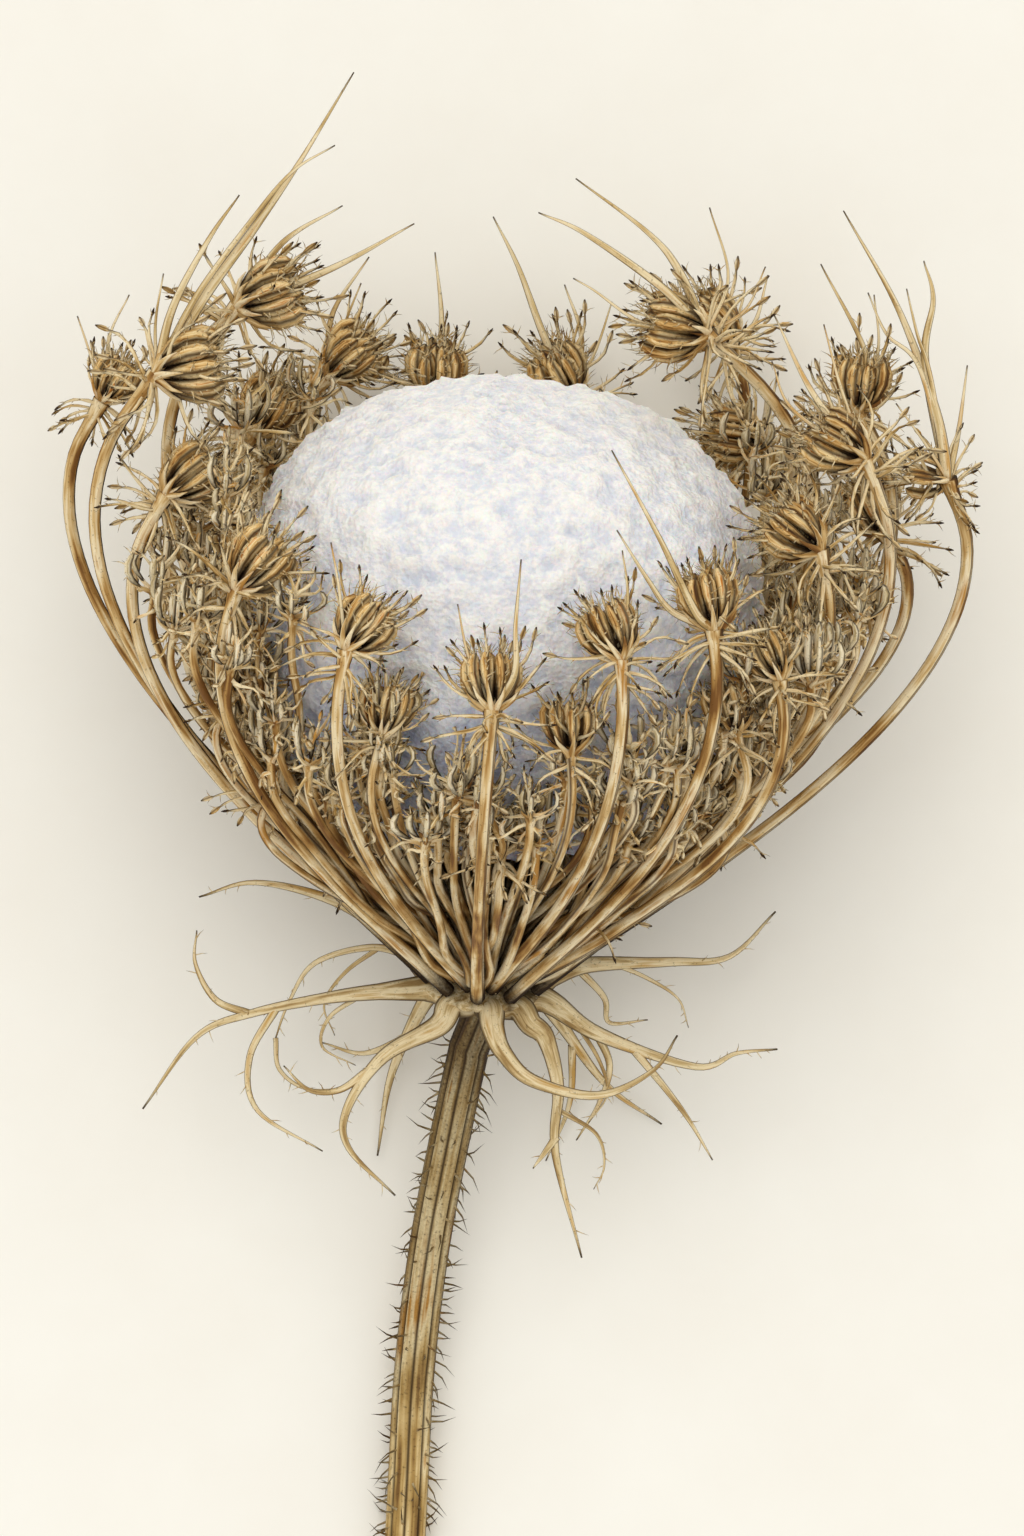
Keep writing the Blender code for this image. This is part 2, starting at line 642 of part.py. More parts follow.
def bract_rods(bract):
    """The rods that stand for a bract where others keep clear of it."""
    for branch in bract:
        line = smooth_line(branch, 2)
        yield from zip(line, line[1:])


def build_bracts():
    """The forked bracts that hang under the node, each as one node."""
    for number, bract in enumerate(BRACTS):
        shapes = []
        for order, branch in enumerate(bract):
            line = pressed(smooth_line(branch, 2), BRACT_RADIUS)
            root = BRACT_RADIUS if order == 0 else BRACT_RADIUS * 0.7
            shapes.append(tube(line, tapered(len(line), root, BRACT_TIP), 4))
        make_node(f"bract_{number + 1}", shapes, "dry_bract")


def build_stalk():
    """The ribbed stalk with the node on top, and the bristles along it."""
    stalk = smooth_line(STALK_LINE, 3)
    flare = [AXIS * height for height, _ in NODE_FLARE]
    crown = [AXIS * dome_height(radius) for radius in NODE_CROWN]
    radii = [STALK_RADIUS] * len(stalk) + [radius for _, radius in NODE_FLARE] + list(NODE_CROWN)
    sides = 2 * STALK_RIBS
    points, faces = tube(stalk + flare + crown, radii, sides)
    for i in range(len(stalk) * sides):
        centre = stalk[i // sides]
        points[i] = centre + (points[i] - centre) * (RIB_HIGH if i % 2 else RIB_LOW)
    make_node("stalk", [(points, faces), *stalk_bristles(stalk)], "dry_stalk")


def stalk_bristles(line):
    """Short stiff bristles, in a spiral down the stalk and clear of the surface below."""
    shapes = []
    for i in range(BRISTLES):
        place = 1 + (len(line) - 2.01) * i / BRISTLES
        low = int(place)
        centre = line[low].lerp(line[low + 1], place - low)
        along = (line[low + 1] - line[low]).normalized()
        out = Matrix.Rotation(i * GOLDEN_TURN, 3, along) @ along.orthogonal().normalized()
        root = centre + out * (STALK_RADIUS * 0.8)
        end = centre + (out - along * 0.35).normalized() * (STALK_RADIUS + BRISTLE_LENGTH)
        if end.z + NODE_HEIGHT > 2 * GAP:
            shapes.append(needle(root, end, BRISTLE_RADIUS))
    return shapes


def build_snow():
    """The ball of snow that fills the cup, a little lumpy."""
    shape = bmesh.new()
    bmesh.ops.create_icosphere(shape, subdivisions=3, radius=1.0)
    turn = Matrix((SIDE, TOP, AXIS)).transposed()
    points = []
    for vertex in shape.verts:
        out = math.hypot(vertex.co.x, vertex.co.y)
        power = SNOW_SHOULDER
        full = (out**power + abs(vertex.co.z) ** power) ** (-1 / power)
        local = vertex.co * full * (1 - SNOW_LUMPS * (1 + noise.noise(vertex.co * 3.1)))
        scaled = Vector((local.x * SNOW_RADIUS, local.y * SNOW_RADIUS, local.z * SNOW_HALF_HEIGHT))
        points.append(turn @ scaled + AXIS * SNOW_CENTRE + SIDE * SNOW_SHIFT)
    faces = [tuple(v.index for v in f.verts) for f in shape.faces]
    shape.free()
    make_node("snow", [(points, faces)], "snow")


def main():
    clear_scene()
    build_stalk()
    build_bracts()
    build_rays()
    build_snow()


main()
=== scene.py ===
# %% [markdown]
# # A wild carrot seed head with snow in its cup
#
# In autumn the umbel of a wild carrot closes into a nest: the outer rays bend in over the inner ones, and
# each carries a small head of spiny fruits. Here the cup has caught a ball of snow, and the head lies on a
# pale table with its stalk cut off. The solid model gives every piece its place. This lesson loads it and
# then makes a finely detailed piece over each of its plain solids.
#
# The frame comes in first and is never moved. Its box is kept, because the finished piece must stay in it.

# %% Load the frame
import math
import random

import bmesh
import bpy
import numpy as np
from mathutils import Matrix, Vector, noise


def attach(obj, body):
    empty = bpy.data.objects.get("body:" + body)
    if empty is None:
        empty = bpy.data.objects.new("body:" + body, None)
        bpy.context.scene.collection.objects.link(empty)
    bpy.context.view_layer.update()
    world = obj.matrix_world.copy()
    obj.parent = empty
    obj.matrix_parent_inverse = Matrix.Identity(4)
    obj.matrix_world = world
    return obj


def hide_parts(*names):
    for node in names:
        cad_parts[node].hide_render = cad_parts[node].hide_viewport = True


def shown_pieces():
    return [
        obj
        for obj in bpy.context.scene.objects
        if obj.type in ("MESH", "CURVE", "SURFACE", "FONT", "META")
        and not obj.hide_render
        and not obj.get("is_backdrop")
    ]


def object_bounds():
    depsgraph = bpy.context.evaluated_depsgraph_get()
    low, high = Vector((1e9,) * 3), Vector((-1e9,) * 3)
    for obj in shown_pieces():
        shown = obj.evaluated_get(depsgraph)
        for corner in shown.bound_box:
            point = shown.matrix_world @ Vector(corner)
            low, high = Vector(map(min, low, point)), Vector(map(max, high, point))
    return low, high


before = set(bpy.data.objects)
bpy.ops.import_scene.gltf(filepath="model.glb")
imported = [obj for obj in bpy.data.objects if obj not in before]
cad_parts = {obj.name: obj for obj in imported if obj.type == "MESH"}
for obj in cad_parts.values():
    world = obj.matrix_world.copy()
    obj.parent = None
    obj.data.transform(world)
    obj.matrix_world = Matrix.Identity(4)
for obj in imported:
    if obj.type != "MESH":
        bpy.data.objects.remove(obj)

cad_box = [list(corner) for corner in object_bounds()]
MM = 0.001
print(len(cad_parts), "solids, box in mm:", [[round(v / MM, 1) for v in corner] for corner in cad_box])

# %% [markdown]
# ## The camera
#
# The picture looks straight at the side of the head, with no perspective to see: rays at the front and at
# the back keep one scale. An orthographic camera would do it, but a very long lens from far away gives the
# same flatness and still behaves like a real camera. The head lies on the table, so the camera looks down.

# %% Camera over the table
PIXEL = 0.075  # millimetres of the object for one pixel of the picture
LENS, SENSOR = 600.0, 36.0
PICTURE = (1024, 1536)
NODE_PIXEL = (485, 985)  # where the node under the rays is in the picture
LEVEL = 27.0  # height over the table at which the scale holds
REST_SPOT = (4.7, 27.4)
centre_x = (PICTURE[0] / 2 - NODE_PIXEL[0]) * PIXEL - REST_SPOT[0]
centre_y = (NODE_PIXEL[1] - PICTURE[1] / 2) * PIXEL - REST_SPOT[1]
height = LEVEL + PICTURE[1] * PIXEL * LENS / SENSOR

scene = bpy.context.scene
camera_data = bpy.data.cameras.new("camera")
camera_data.lens = LENS
camera_data.sensor_width = SENSOR
camera = bpy.data.objects.new("camera", camera_data)
camera.location = (centre_x * MM, centre_y * MM, height * MM)
scene.collection.objects.link(camera)
scene.camera = camera
print("camera", [round(v, 4) for v in camera.location])

# %% [markdown]
# ## Light and table
#
# The snow is brightest on the side of the cup's mouth and turns blue-grey low down, so a wide soft lamp
# stands high, a little beyond the mouth. A bright even sky fills the shadows. The table is one plain sheet
# in the warm white of thick paper. It is only a stage, so it is marked as one.

# %% Sky and soft lamp
SKY_LIGHT, SKY_COLOUR = 0.82, (0.985, 0.985, 0.98, 1)
LAMP_LIGHT, LAMP_COLOUR = 0.95, (1.0, 0.975, 0.93)
LAMP_SPREAD = 44  # degrees of sky that the lamp fills: the wider, the softer
LAMP_TURN = (-24, 0, 8)  # degrees from straight down: from the mouth's side and a little from the left

scene.view_settings.view_transform = "Standard"
world = bpy.data.worlds.new("sky")
world.use_nodes = True
background = world.node_tree.nodes["Background"]
background.inputs["Color"].default_value = SKY_COLOUR
background.inputs["Strength"].default_value = SKY_LIGHT
scene.world = world

lamp_data = bpy.data.lights.new("lamp", "SUN")
lamp_data.energy = LAMP_LIGHT
lamp_data.angle = math.radians(LAMP_SPREAD)
lamp_data.color = LAMP_COLOUR
lamp = bpy.data.objects.new("lamp", lamp_data)
lamp.rotation_euler = [math.radians(a) for a in LAMP_TURN]
scene.collection.objects.link(lamp)
print("light comes from", [round(v, 2) for v in lamp.rotation_euler.to_matrix() @ Vector((0, 0, 1))])

# %% [markdown]
# ## Writing finishes as sums
#
# A finish is a tree of shader nodes. Wiring it by hand hides the idea, so a small class stands for a
# socket and turns `a * 0.5 + b` into Math nodes. Colours never go through Math nodes, which would make
# them grey: they are mixed. Every other node comes from one method.


# %% Sockets that take part in sums
class Wire:
    """A socket that can be used in sums, each of which adds one Math node."""

    def __init__(self, paint, socket):
        self.paint, self.socket = paint, socket

    def math(self, operation, first, second):
        return self.paint.node("ShaderNodeMath", {"operation": operation}, {0: first, 1: second})

    def __add__(self, other):
        return self.math("ADD", self, other)

    __radd__ = __add__

    def __sub__(self, other):
        return self.math("SUBTRACT", self, other)

    def __rsub__(self, other):
        return self.math("SUBTRACT", other, self)

    def __mul__(self, other):
        return self.math("MULTIPLY", self, other)

    __rmul__ = __mul__


# %% A finish and its nodes
def colour(code):
    """A colour as painters write it, #RRGGBB, turned into the light values that shaders use."""
    parts = [int(code[i : i + 2], 16) / 255 for i in (1, 3, 5)]
    return (*[p / 12.92 if p < 0.04045 else ((p + 0.055) / 1.055) ** 2.4 for p in parts], 1.0)


class Paint:
    """One finish: a material, its Principled shader and the nodes that feed it."""

    def __init__(self, name, **constants):
        self.material = bpy.data.materials.new(name)
        self.material.use_nodes = True
        self.tree = self.material.node_tree
        self.shader = self.tree.nodes["Principled BSDF"]
        for socket, value in constants.items():
            self.shader.inputs[socket.replace("_", " ")].default_value = value

    def node(self, kind, settings, sockets, out=0):
        """Adds a node of this kind, sets it, and feeds its sockets with numbers or wires."""
        made = self.tree.nodes.new(kind)
        for key, value in settings.items():
            if key == "stops":
                self.set_stops(made.color_ramp.elements, value)
            else:
                setattr(made, key, value)
        for key, value in sockets.items():
            if isinstance(value, Wire):
                self.tree.links.new(value.socket, made.inputs[key])
            else:
                made.inputs[key].default_value = value
        return Wire(self, made.outputs[out])

    def set_stops(self, elements, stops):
        """Puts a ramp's colours at their places."""
        while len(elements) < len(stops):
            elements.new(1.0)
        for element, (place, code) in zip(elements, stops):
            element.position, element.color = place, colour(code)

    def fact(self, name, out=2):
        """What the mesh knows at each point under this name: output 2 is a number, 1 a vector."""
        return self.node("ShaderNodeAttribute", {"attribute_name": name}, {}, out)

    def stretched(self, vector, scale):
        """The same place, scaled along each of its axes."""
        return self.node("ShaderNodeMapping", {}, {"Vector": vector, "Scale": scale})

    def noise(self, vector, scale, detail, roughness):
        """Cloudy values round 0.5; each step of detail adds finer clouds, as strong as roughness says."""
        sockets = {"Vector": vector, "Scale": scale, "Detail": detail, "Roughness": roughness}
        return self.node("ShaderNodeTexNoise", {}, sockets)

    def grains(self, vector, scale):
        """Distance to the nearest of many scattered points: 0 in the middle of each grain."""
        return self.node("ShaderNodeTexVoronoi", {}, {"Vector": vector, "Scale": scale})

    def step(self, value, low, high, start=0.0, end=1.0):
        """Goes smoothly from start to end while the value goes from low to high."""
        sockets = {0: value, 1: low, 2: high, 3: start, 4: end}
        return self.node("ShaderNodeMapRange", {"interpolation_type": "SMOOTHSTEP"}, sockets)

    def ramp(self, value, stops):
        """A colour for each value, from stops of place and colour."""
        return self.node("ShaderNodeValToRGB", {"stops": stops}, {0: value})

    def mix(self, factor, first, second):
        """The first colour where the factor is 0, the second where it is 1."""
        return self.node("ShaderNodeMix", {"data_type": "RGBA"}, {0: factor, 6: first, 7: second}, 2)

    def feed(self, socket, wire):
        self.tree.links.new(wire.socket, self.shader.inputs[socket])

    def bump(self, height, strength, distance):
        """Tilts the surface as if it stood out by up to this distance in metres."""
        sockets = {"Height": height, "Strength": strength, "Distance": distance}
        self.feed("Normal", self.node("ShaderNodeBump", {}, sockets))


# %% The table, plain and pale
TABLE_REACH = 3.0  # metres from its middle to each side
TABLE_MOTTLE = 60.0  # patches to the metre
TABLE_STOPS = [(0.3, "#F4F0E5"), (0.7, "#F7F4EA")]

table_paint = Paint("pale_table", Roughness=0.9)
table_place = table_paint.node("ShaderNodeTexCoord", {}, {}, 3)
mottle = table_paint.noise(table_place, TABLE_MOTTLE, 4.0, 0.6)
table_paint.feed("Base Color", table_paint.ramp(mottle, TABLE_STOPS))
table_mesh = bpy.data.meshes.new("table")
corners = [(x * TABLE_REACH, y * TABLE_REACH, 0) for x, y in ((-1, -1), (1, -1), (1, 1), (-1, 1))]
table_mesh.from_pydata(corners, [], [(0, 1, 2, 3)])
table_mesh.materials.append(table_paint.material)
table = bpy.data.objects.new("table", table_mesh)
scene.collection.objects.link(table)
table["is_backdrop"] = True
print("a table", 2 * TABLE_REACH, "metres wide")

# %% [markdown]
# ## The skeleton: where every ray runs
#
# The solids were made from a few named values: where each umbellet is, how far its ray swells on the way,
# and how the bracts fork. The fine pieces need the same lines, so the same values and the same small
# functions are used again here. All lengths are millimetres from the node, where the rays leave the
# stalk, and `placed` turns such a point into the frame's metres.

# %% Values of the frame
NODE_HEIGHT = 12.6
CUP_RISE, CUP_LEAN = 24.0, 3.8
STALK_RADIUS = 1.5
STALK_RIBS = 8
NODE_RADIUS, NODE_DOME = 4.9, 1.1
NODE_FLARE = ((-2.4, 1.5), (-1.3, 2.2), (-0.75, 3.6), (-0.45, 4.6), (0.0, NODE_RADIUS))
RAY_RADIUS, INNER_RAY_RADIUS = 0.56, 0.4
RAY_STEPS, INNER_RAY_STEPS = 10, 7
OUTER_ROOT_RINGS = (4.4, 3.38)
FIRST_ROOT_TURN, ROOT_GAP = -8.0, 0.55
BRACT_RADIUS = 0.56
SNOW_RADIUS, SNOW_HALF_HEIGHT, SNOW_CENTRE = 19.8, 17.2, 30.2
SNOW_SHIFT, SNOW_SHOULDER, SNOW_LUMPS = -0.6, 2.5, 0.02
HUB_FROM_SNOW = 1.4
GAP, SETTLE_ROUNDS, SEED = 0.15, 50, 11
GOLDEN_TURN = math.pi * (3 - math.sqrt(5))

RISE, LEAN = math.radians(CUP_RISE), math.radians(CUP_LEAN)
AXIS = Vector((math.sin(LEAN) * math.cos(RISE), math.cos(LEAN) * math.cos(RISE), math.sin(RISE)))
TOP = Vector((0, -math.sin(RISE), math.cos(RISE))).normalized()
SIDE = AXIS.cross(TOP).normalized()
TOP = SIDE.cross(AXIS).normalized()
print("the cup opens towards", [round(v, 3) for v in AXIS])

# %% Outer umbellets: hub, swell of the ray, and the way the fruits face
OUTER_UMBELLETS = (
    ((0.6, 20.6, 38.5), -0.3, (-3, 42)),
    ((10.2, 24.4, 36.6), -0.6, (-13, 35)),
    ((17.0, 26.6, 34.4), -0.7, (0, 35)),
    ((22.0, 22.9, 28.4), -1.2, (-7, 30)),
    ((25.0, 32.6, 25.0), -0.3, (-30, 30)),
    ((28.4, 39.4, 22.5), 1.4, (-38, 28)),
    ((34.7, 37.9, 14.4), 0.1, (-45, 10)),
    ((28.0, 43.1, 13.4), 2.4, (18, 35)),
    ((16.6, 48.8, 18.6), 9.5, (-48, 13)),
    ((30.1, 34.1, 2.9), 1.0, (-4, 30)),
    ((20.9, 40.9, 0.3), 2.0, (-55, 15)),
    ((18.6, 48.4, -5.2), 2.0, (-18, 30)),
    ((6.6, 44.5, -5.7), 3.0, (-10, 25)),
    ((-3.8, 44.3, -4.2), 3.2, (-2, 25)),
    ((-11.8, 46.1, -4.8), 3.4, (20, 25)),
    ((-17.4, 41.6, 2.2), 2.0, (5, 20)),
    ((-18.5, 51.0, 12.0), 4.6, (27, 15)),
    ((-28.7, 43.9, 12.1), 0.5, (8, 35)),
    ((-24.5, 45.8, 22.0), 3.2, (50, 13)),
    ((-23.8, 36.8, 19.7), 1.0, (30, 35)),
    ((-18.5, 29.6, 29.8), -0.6, (23, 35)),
    ((-10.3, 25.1, 35.9), -1.1, (17, 25)),
)
print(len(OUTER_UMBELLETS), "outer umbellets")

# %% Inner tiers: how many, distance from the axis, height, root ring, turn
INNER_TIERS = (
    (10, 23.0, 28.5, 2.42, 12.0),
    (6, 18.4, 19.5, 1.42, 0.0),
    (3, 9.5, 11.8, 0.58, 40.0),
)
print(sum(tier[0] for tier in INNER_TIERS), "inner umbellets")

# %% Long bracteoles: the umbellet that each grows from, counted from 0, and the points that it passes
LONG_BRACTEOLES = (
    (0, ((2.2, 23.2, 40.0), (2.3, 26.9, 41.0), (2.7, 31.7, 42.0))),
    (2, ((15.6, 27.9, 36.0), (12.9, 33.4, 38.5), (9.4, 39.8, 39.5))),
    (2, ((13.9, 27.9, 35.0), (12.0, 30.4, 36.0), (9.8, 33.9, 37.0))),
    (5, ((24.5, 44.2, 24.0), (21.6, 50.1, 23.0))),
    (6, ((33.8, 43.0, 15.0), (31.0, 50.7, 14.5), (26.9, 58.1, 13.0))),
    (6, ((33.0, 46.7, 15.0), (33.6, 51.4, 15.5), (32.9, 54.3, 15.0))),
    (6, ((35.5, 41.4, 13.8), (36.2, 46.5, 13.0))),
    (7, ((28.6, 47.2, 14.0), (25.2, 54.1, 13.0))),
    (8, ((14.5, 53.5, 19.5), (12.1, 56.4, 19.5), (6.8, 60.4, 18.0))),
    (8, ((13.2, 52.2, 21.2), (7.5, 56.2, 21.4), (4.0, 57.8, 20.4))),
    (11, ((20.4, 50.0, -4.0), (21.4, 53.6, -4.0))),
    (12, ((4.4, 49.1, -5.0), (2.5, 54.2, -4.0), (0.6, 58.0, -3.0))),
    (12, ((7.3, 48.8, -5.4), (6.0, 52.9, -5.0))),
    (13, ((-3.3, 49.9, -4.0), (-3.8, 55.3, -3.0))),
    (14, ((-11.6, 50.6, -5.2), (-8.8, 55.0, -5.0))),
    (16, ((-15.2, 55.7, 13.0), (-10.7, 58.5, 12.0))),
    (16, ((-11.4, 53.8, 14.0), (-5.3, 57.1, 14.5))),
    (18, ((-21.0, 51.4, 22.5), (-17.3, 56.5, 22.0), (-13.9, 61.5, 21.0), (-9.8, 68.3, 20.0))),
    (18, ((-23.3, 50.6, 23.8), (-20.6, 55.7, 25.0), (-18.3, 59.0, 25.6))),
)

# %% Bracts under the node: branches of each, the first of them its trunk
BRACTS = (
    (
        ((-5.0, 1.6, -1.2), (-6.4, 3.2, -1.8), (-11.4, 6.2, -3.5), (-17.4, 7.6, -5.0), (-21.7, 6.5, -6.5)),
        ((-5.2, 1.9, -1.3), (-8.6, 2.7, -2.6), (-12.9, 1.5, -4.5), (-14.9, -1.5, -6.0), (-16.0, -4.5, -7.0)),
    ),
    (
        ((-5.3, -0.4, 0.9), (-11.4, -1.0, 1.7), (-17.8, -2.3, 1.0), (-21.9, -4.1, 0.5), (-25.9, -9.5, -2.0)),
        ((-17.8, -2.3, 1.0), (-20.4, -1.2, 0.5), (-21.9, 1.5, 0.0), (-21.8, 4.0, -0.5)),
        ((-15.7, -1.7, 1.3), (-17.8, -5.6, 0.5), (-17.2, -9.6, 0.0), (-12.3, -12.7, -1.5)),
    ),
    (
        ((-3.6, -3.2, 3.3), (-7.7, -5.5, 4.4), (-10.4, -9.4, 4.2), (-10.3, -12.4, 3.2), (-6.8, -16.0, 1.5)),
        ((-8.9, -6.6, 4.5), (-11.0, -8.0, 4.4), (-13.3, -8.0, 3.6), (-15.2, -6.2, 2.8)),
    ),
    (
        (
            (0.6, -3.4, 4.7),
            (1.4, -5.2, 5.2),
            (3.6, -7.3, 5.5),
            (8.5, -8.4, 5.0),
            (12.7, -6.5, 3.8),
            (14.5, -3.9, 3),
        ),
    ),
    (
        ((3.4, -3.0, 3.2), (4.6, -4.2, 2.6), (5.5, -8.0, 1.0), (5.3, -12.8, -1.0), (7.3, -20.8, -4.0)),
        ((5.4, -11.6, -0.5), (3.6, -14.0, -0.8)),
    ),
    (
        ((5.2, -1.6, 1.2), (8.7, -3.9, 0.5), (15.9, -6.3, -0.8), (19.0, -5.3, -1.6), (22.1, -5.0, -2.5)),
        ((11.3, -5.1, 0.1), (13.9, -8.3, -1.0), (15.5, -10.5, -2.2), (17.2, -13.4, -4.0)),
        ((8.4, -3.7, 0.5), (9.4, -6.2, -0.7), (8.7, -8.9, -1.8), (6.9, -11.9, -3.4)),
    ),
    (
        ((5.2, 0.7, -1.2), (7.9, 1.4, -2.0), (13.9, 1.6, -3.5), (18.5, 2.0, -4.5), (22.0, 5.4, -5.5)),
        ((6.9, 1.2, -1.7), (9.0, -1.1, -3.0), (9.4, -3.0, -3.8), (12.3, -2.8, -4.8)),
    ),
    (
        ((-3.3, 0.2, -4.2), (-5.0, -2.2, -7.2), (-7.2, -7.2, -10.6), (-8.2, -13.2, -11.7)),
        ((-5.6, -4.0, -8.5), (-9.2, -5.4, -10.8), (-12.4, -4.6, -11.8)),
    ),
    (
        ((3.2, 0.3, -4.2), (5.5, -2.8, -7.6), (9.2, -7.8, -11.0), (13.4, -10.8, -11.8)),
        ((6.6, -4.8, -9.0), (6.4, -9.2, -11.2), (4.6, -13.6, -11.8)),
    ),
)

# %% The stalk's line, from its cut end up to the node
STALK_LINE = (
    (-6.2, -44.4, -11.02),
    (-5.9, -38.6, -10.75),
    (-5.4, -29.6, -9.6),
    (-4.3, -20.4, -7.6),
    (-2.7, -11.8, -4.8),
    (-1.2, -4.8, -2.1),
)
print("stalk from", STALK_LINE[0], "to", STALK_LINE[-1])

# %% [markdown]
# ### Lines
#
# Everything on a plant bends, so the pieces follow curves. A Catmull-Rom curve passes through all of its
# points, which suits a line read off a picture. A Bezier curve only leans towards its two middle handles,
# which suits a ray that must leave the node one way and reach its hub another.


# %% Curves
def smooth_line(points, steps):
    """Points on a Catmull-Rom curve through the given ones, with this many steps between each two."""
    points = [Vector(p) for p in points]
    ends = [2 * points[0] - points[1], *points, 2 * points[-1] - points[-2]]
    line = []
    for a, b, c, d in zip(ends, ends[1:], ends[2:], ends[3:]):
        for step in range(steps):
            t = step / steps
            bend = (2 * a - 5 * b + 4 * c - d) * t**2 + (3 * b - a - 3 * c + d) * t**3
            line.append(0.5 * (2 * b + (c - a) * t + bend))
    return [*line, points[-1]]


def bezier(points, steps):
    """Points on a cubic Bezier curve, ends included."""
    line = []
    for step in range(steps + 1):
        t = step / steps
        weights = ((1 - t) ** 3, 3 * t * (1 - t) ** 2, 3 * t**2 * (1 - t), t**3)
        line.append(sum((w * p for w, p in zip(weights, points)), Vector((0, 0, 0))))
    return line


def pressed(line, radius):
    """A line held up where it would sink into the table."""
    return [Vector((p.x, p.y, max(p.z, radius - NODE_HEIGHT))) for p in line]


# %% Places round the cup
def round_axis(turn):
    """The direction out from the cup's axis at this turn in degrees, where 0 is the top."""
    angle = math.radians(turn)
    return TOP * math.cos(angle) + SIDE * math.sin(angle)


def dome_height(radius):
    """Height of the node's dome at this distance from the axis."""
    return NODE_DOME * (1 - (radius / NODE_RADIUS) ** 2)


def snow_share(out, height):
    """1 on the snow's surface, less inside it: a round shape with fuller shoulders than a ball."""
    power = SNOW_SHOULDER
    return ((out / SNOW_RADIUS) ** power + abs(height / SNOW_HALF_HEIGHT) ** power) ** (1 / power)


def snow_distance(point):
    """Rough distance from a point to the snow, negative inside it."""
    point = point - SIDE * SNOW_SHIFT
    height = point.dot(AXIS)
    out = (point - AXIS * height).length
    return (snow_share(out, height - SNOW_CENTRE) - 1) * min(SNOW_RADIUS, SNOW_HALF_HEIGHT)


# %% The line of one ray
# How much a ray's second, third and last handle count where the cup is widest, 0.7 of the way up
BELLY_WEIGHTS = (0.189, 0.441, 0.343)
ROOT_LEAN = 0.4  # how far a ray sets off towards its root's side of the node, not its hub's


def ray_line(hub, root_turn, root_radius, wider, first_share, heights, steps):
    """The line of a ray: out from the node, round the belly of the cup, and in to its hub."""
    hub = Vector(hub)
    height = hub.dot(AXIS)
    out = hub - AXIS * height
    reach = out.length
    out.normalize()
    root_out = round_axis(root_turn)
    root = root_out * root_radius + AXIS * (dome_height(root_radius) + ROOT_GAP)
    swell = reach + wider
    first = first_share * swell
    near, far, end = BELLY_WEIGHTS
    second = (swell - near * first - end * reach) / far
    handles = (
        root,
        (root_out * ROOT_LEAN + out * (1 - ROOT_LEAN)).normalized() * first + AXIS * heights[0],
        out * second + AXIS * heights[1],
        hub,
    )
    return bezier(handles, steps)


def outer_rays():
    """Name, radius and line of each long ray."""
    rays = []
    count = len(OUTER_UMBELLETS)
    for i, (hub, wider, _) in enumerate(OUTER_UMBELLETS):
        turn = FIRST_ROOT_TURN + 360 * i / count
        height = Vector(hub).dot(AXIS)
        heights = (max(0.24 * height, 9.6), 0.64 * height)
        line = ray_line(hub, turn, OUTER_ROOT_RINGS[i % 2], wider, 0.51, heights, RAY_STEPS)
        rays.append((f"ray_{i + 1:02d}", RAY_RADIUS, pressed(line, RAY_RADIUS * math.sqrt(0.5))))
    return rays


def inner_rays():
    """Name, radius and line of each short ray inside the cup."""
    rng = random.Random(SEED)
    rays = []
    for tier, (count, reach, height, root, first_turn) in enumerate(INNER_TIERS):
        for i in range(count):
            turn = first_turn + 360 * i / count
            out = round_axis(turn + rng.uniform(-5, 5))
            hub = out * (reach + rng.uniform(-0.5, 0.5)) + AXIS * (height + rng.uniform(-1.3, 1.3))
            hub += out * max(0, HUB_FROM_SNOW - snow_distance(hub))
            heights = (0.38 * hub.dot(AXIS), 0.76 * hub.dot(AXIS))
            line = ray_line(hub, turn, root, 0.0, 0.42, heights, INNER_RAY_STEPS)
            name = f"inner_ray_{tier + 1}_{i + 1:02d}"
            rays.append((name, INNER_RAY_RADIUS, pressed(line, INNER_RAY_RADIUS)))
    return rays


# %% [markdown]
# ### Making room
#
# Forty rays in one cup would run through each other. On the plant they push each other aside as they grow.
# The same happens here: for some rounds, every two rods that are too near are moved apart a little, and
# each move is smoothed along its ray, so that the ray bends and doesn't kink.


# %% Bend the rays clear of each other
def nearest(a_start, a_end, b_start, b_end):
    """Closest points of two lines, for arrays of them: the gap from b to a, and the share along each."""
    a_run, b_run, apart = a_end - a_start, b_end - b_start, a_start - b_start
    aa, bb, ab = (a_run**2).sum(-1), (b_run**2).sum(-1), (a_run * b_run).sum(-1)
    a_apart, b_apart = (a_run * apart).sum(-1), (b_run * apart).sum(-1)
    on_a = np.clip((ab * b_apart - a_apart * bb) / np.maximum(aa * bb - ab**2, 1e-9), 0, 1)
    on_b = np.clip((ab * on_a + b_apart) / bb, 0, 1)
    on_a = np.clip((ab * on_b - a_apart) / aa, 0, 1)
    return apart + a_run * on_a[..., None] - b_run * on_b[..., None], on_a, on_b


def push(move, gap, share, starts, need, part):
    """Adds to the moves of a rod's two ends what takes it clear of the rod that it is too near."""
    far = np.linalg.norm(gap, axis=1)
    lack = need + 1.5 * GAP - far
    near = lack > 0
    step = gap[near] / np.maximum(far[near], 1e-6)[:, None] * (part * lack[near])[:, None]
    np.add.at(move, starts[near], step * (1 - share[near])[:, None])
    np.add.at(move, starts[near] + 1, step * share[near][:, None])


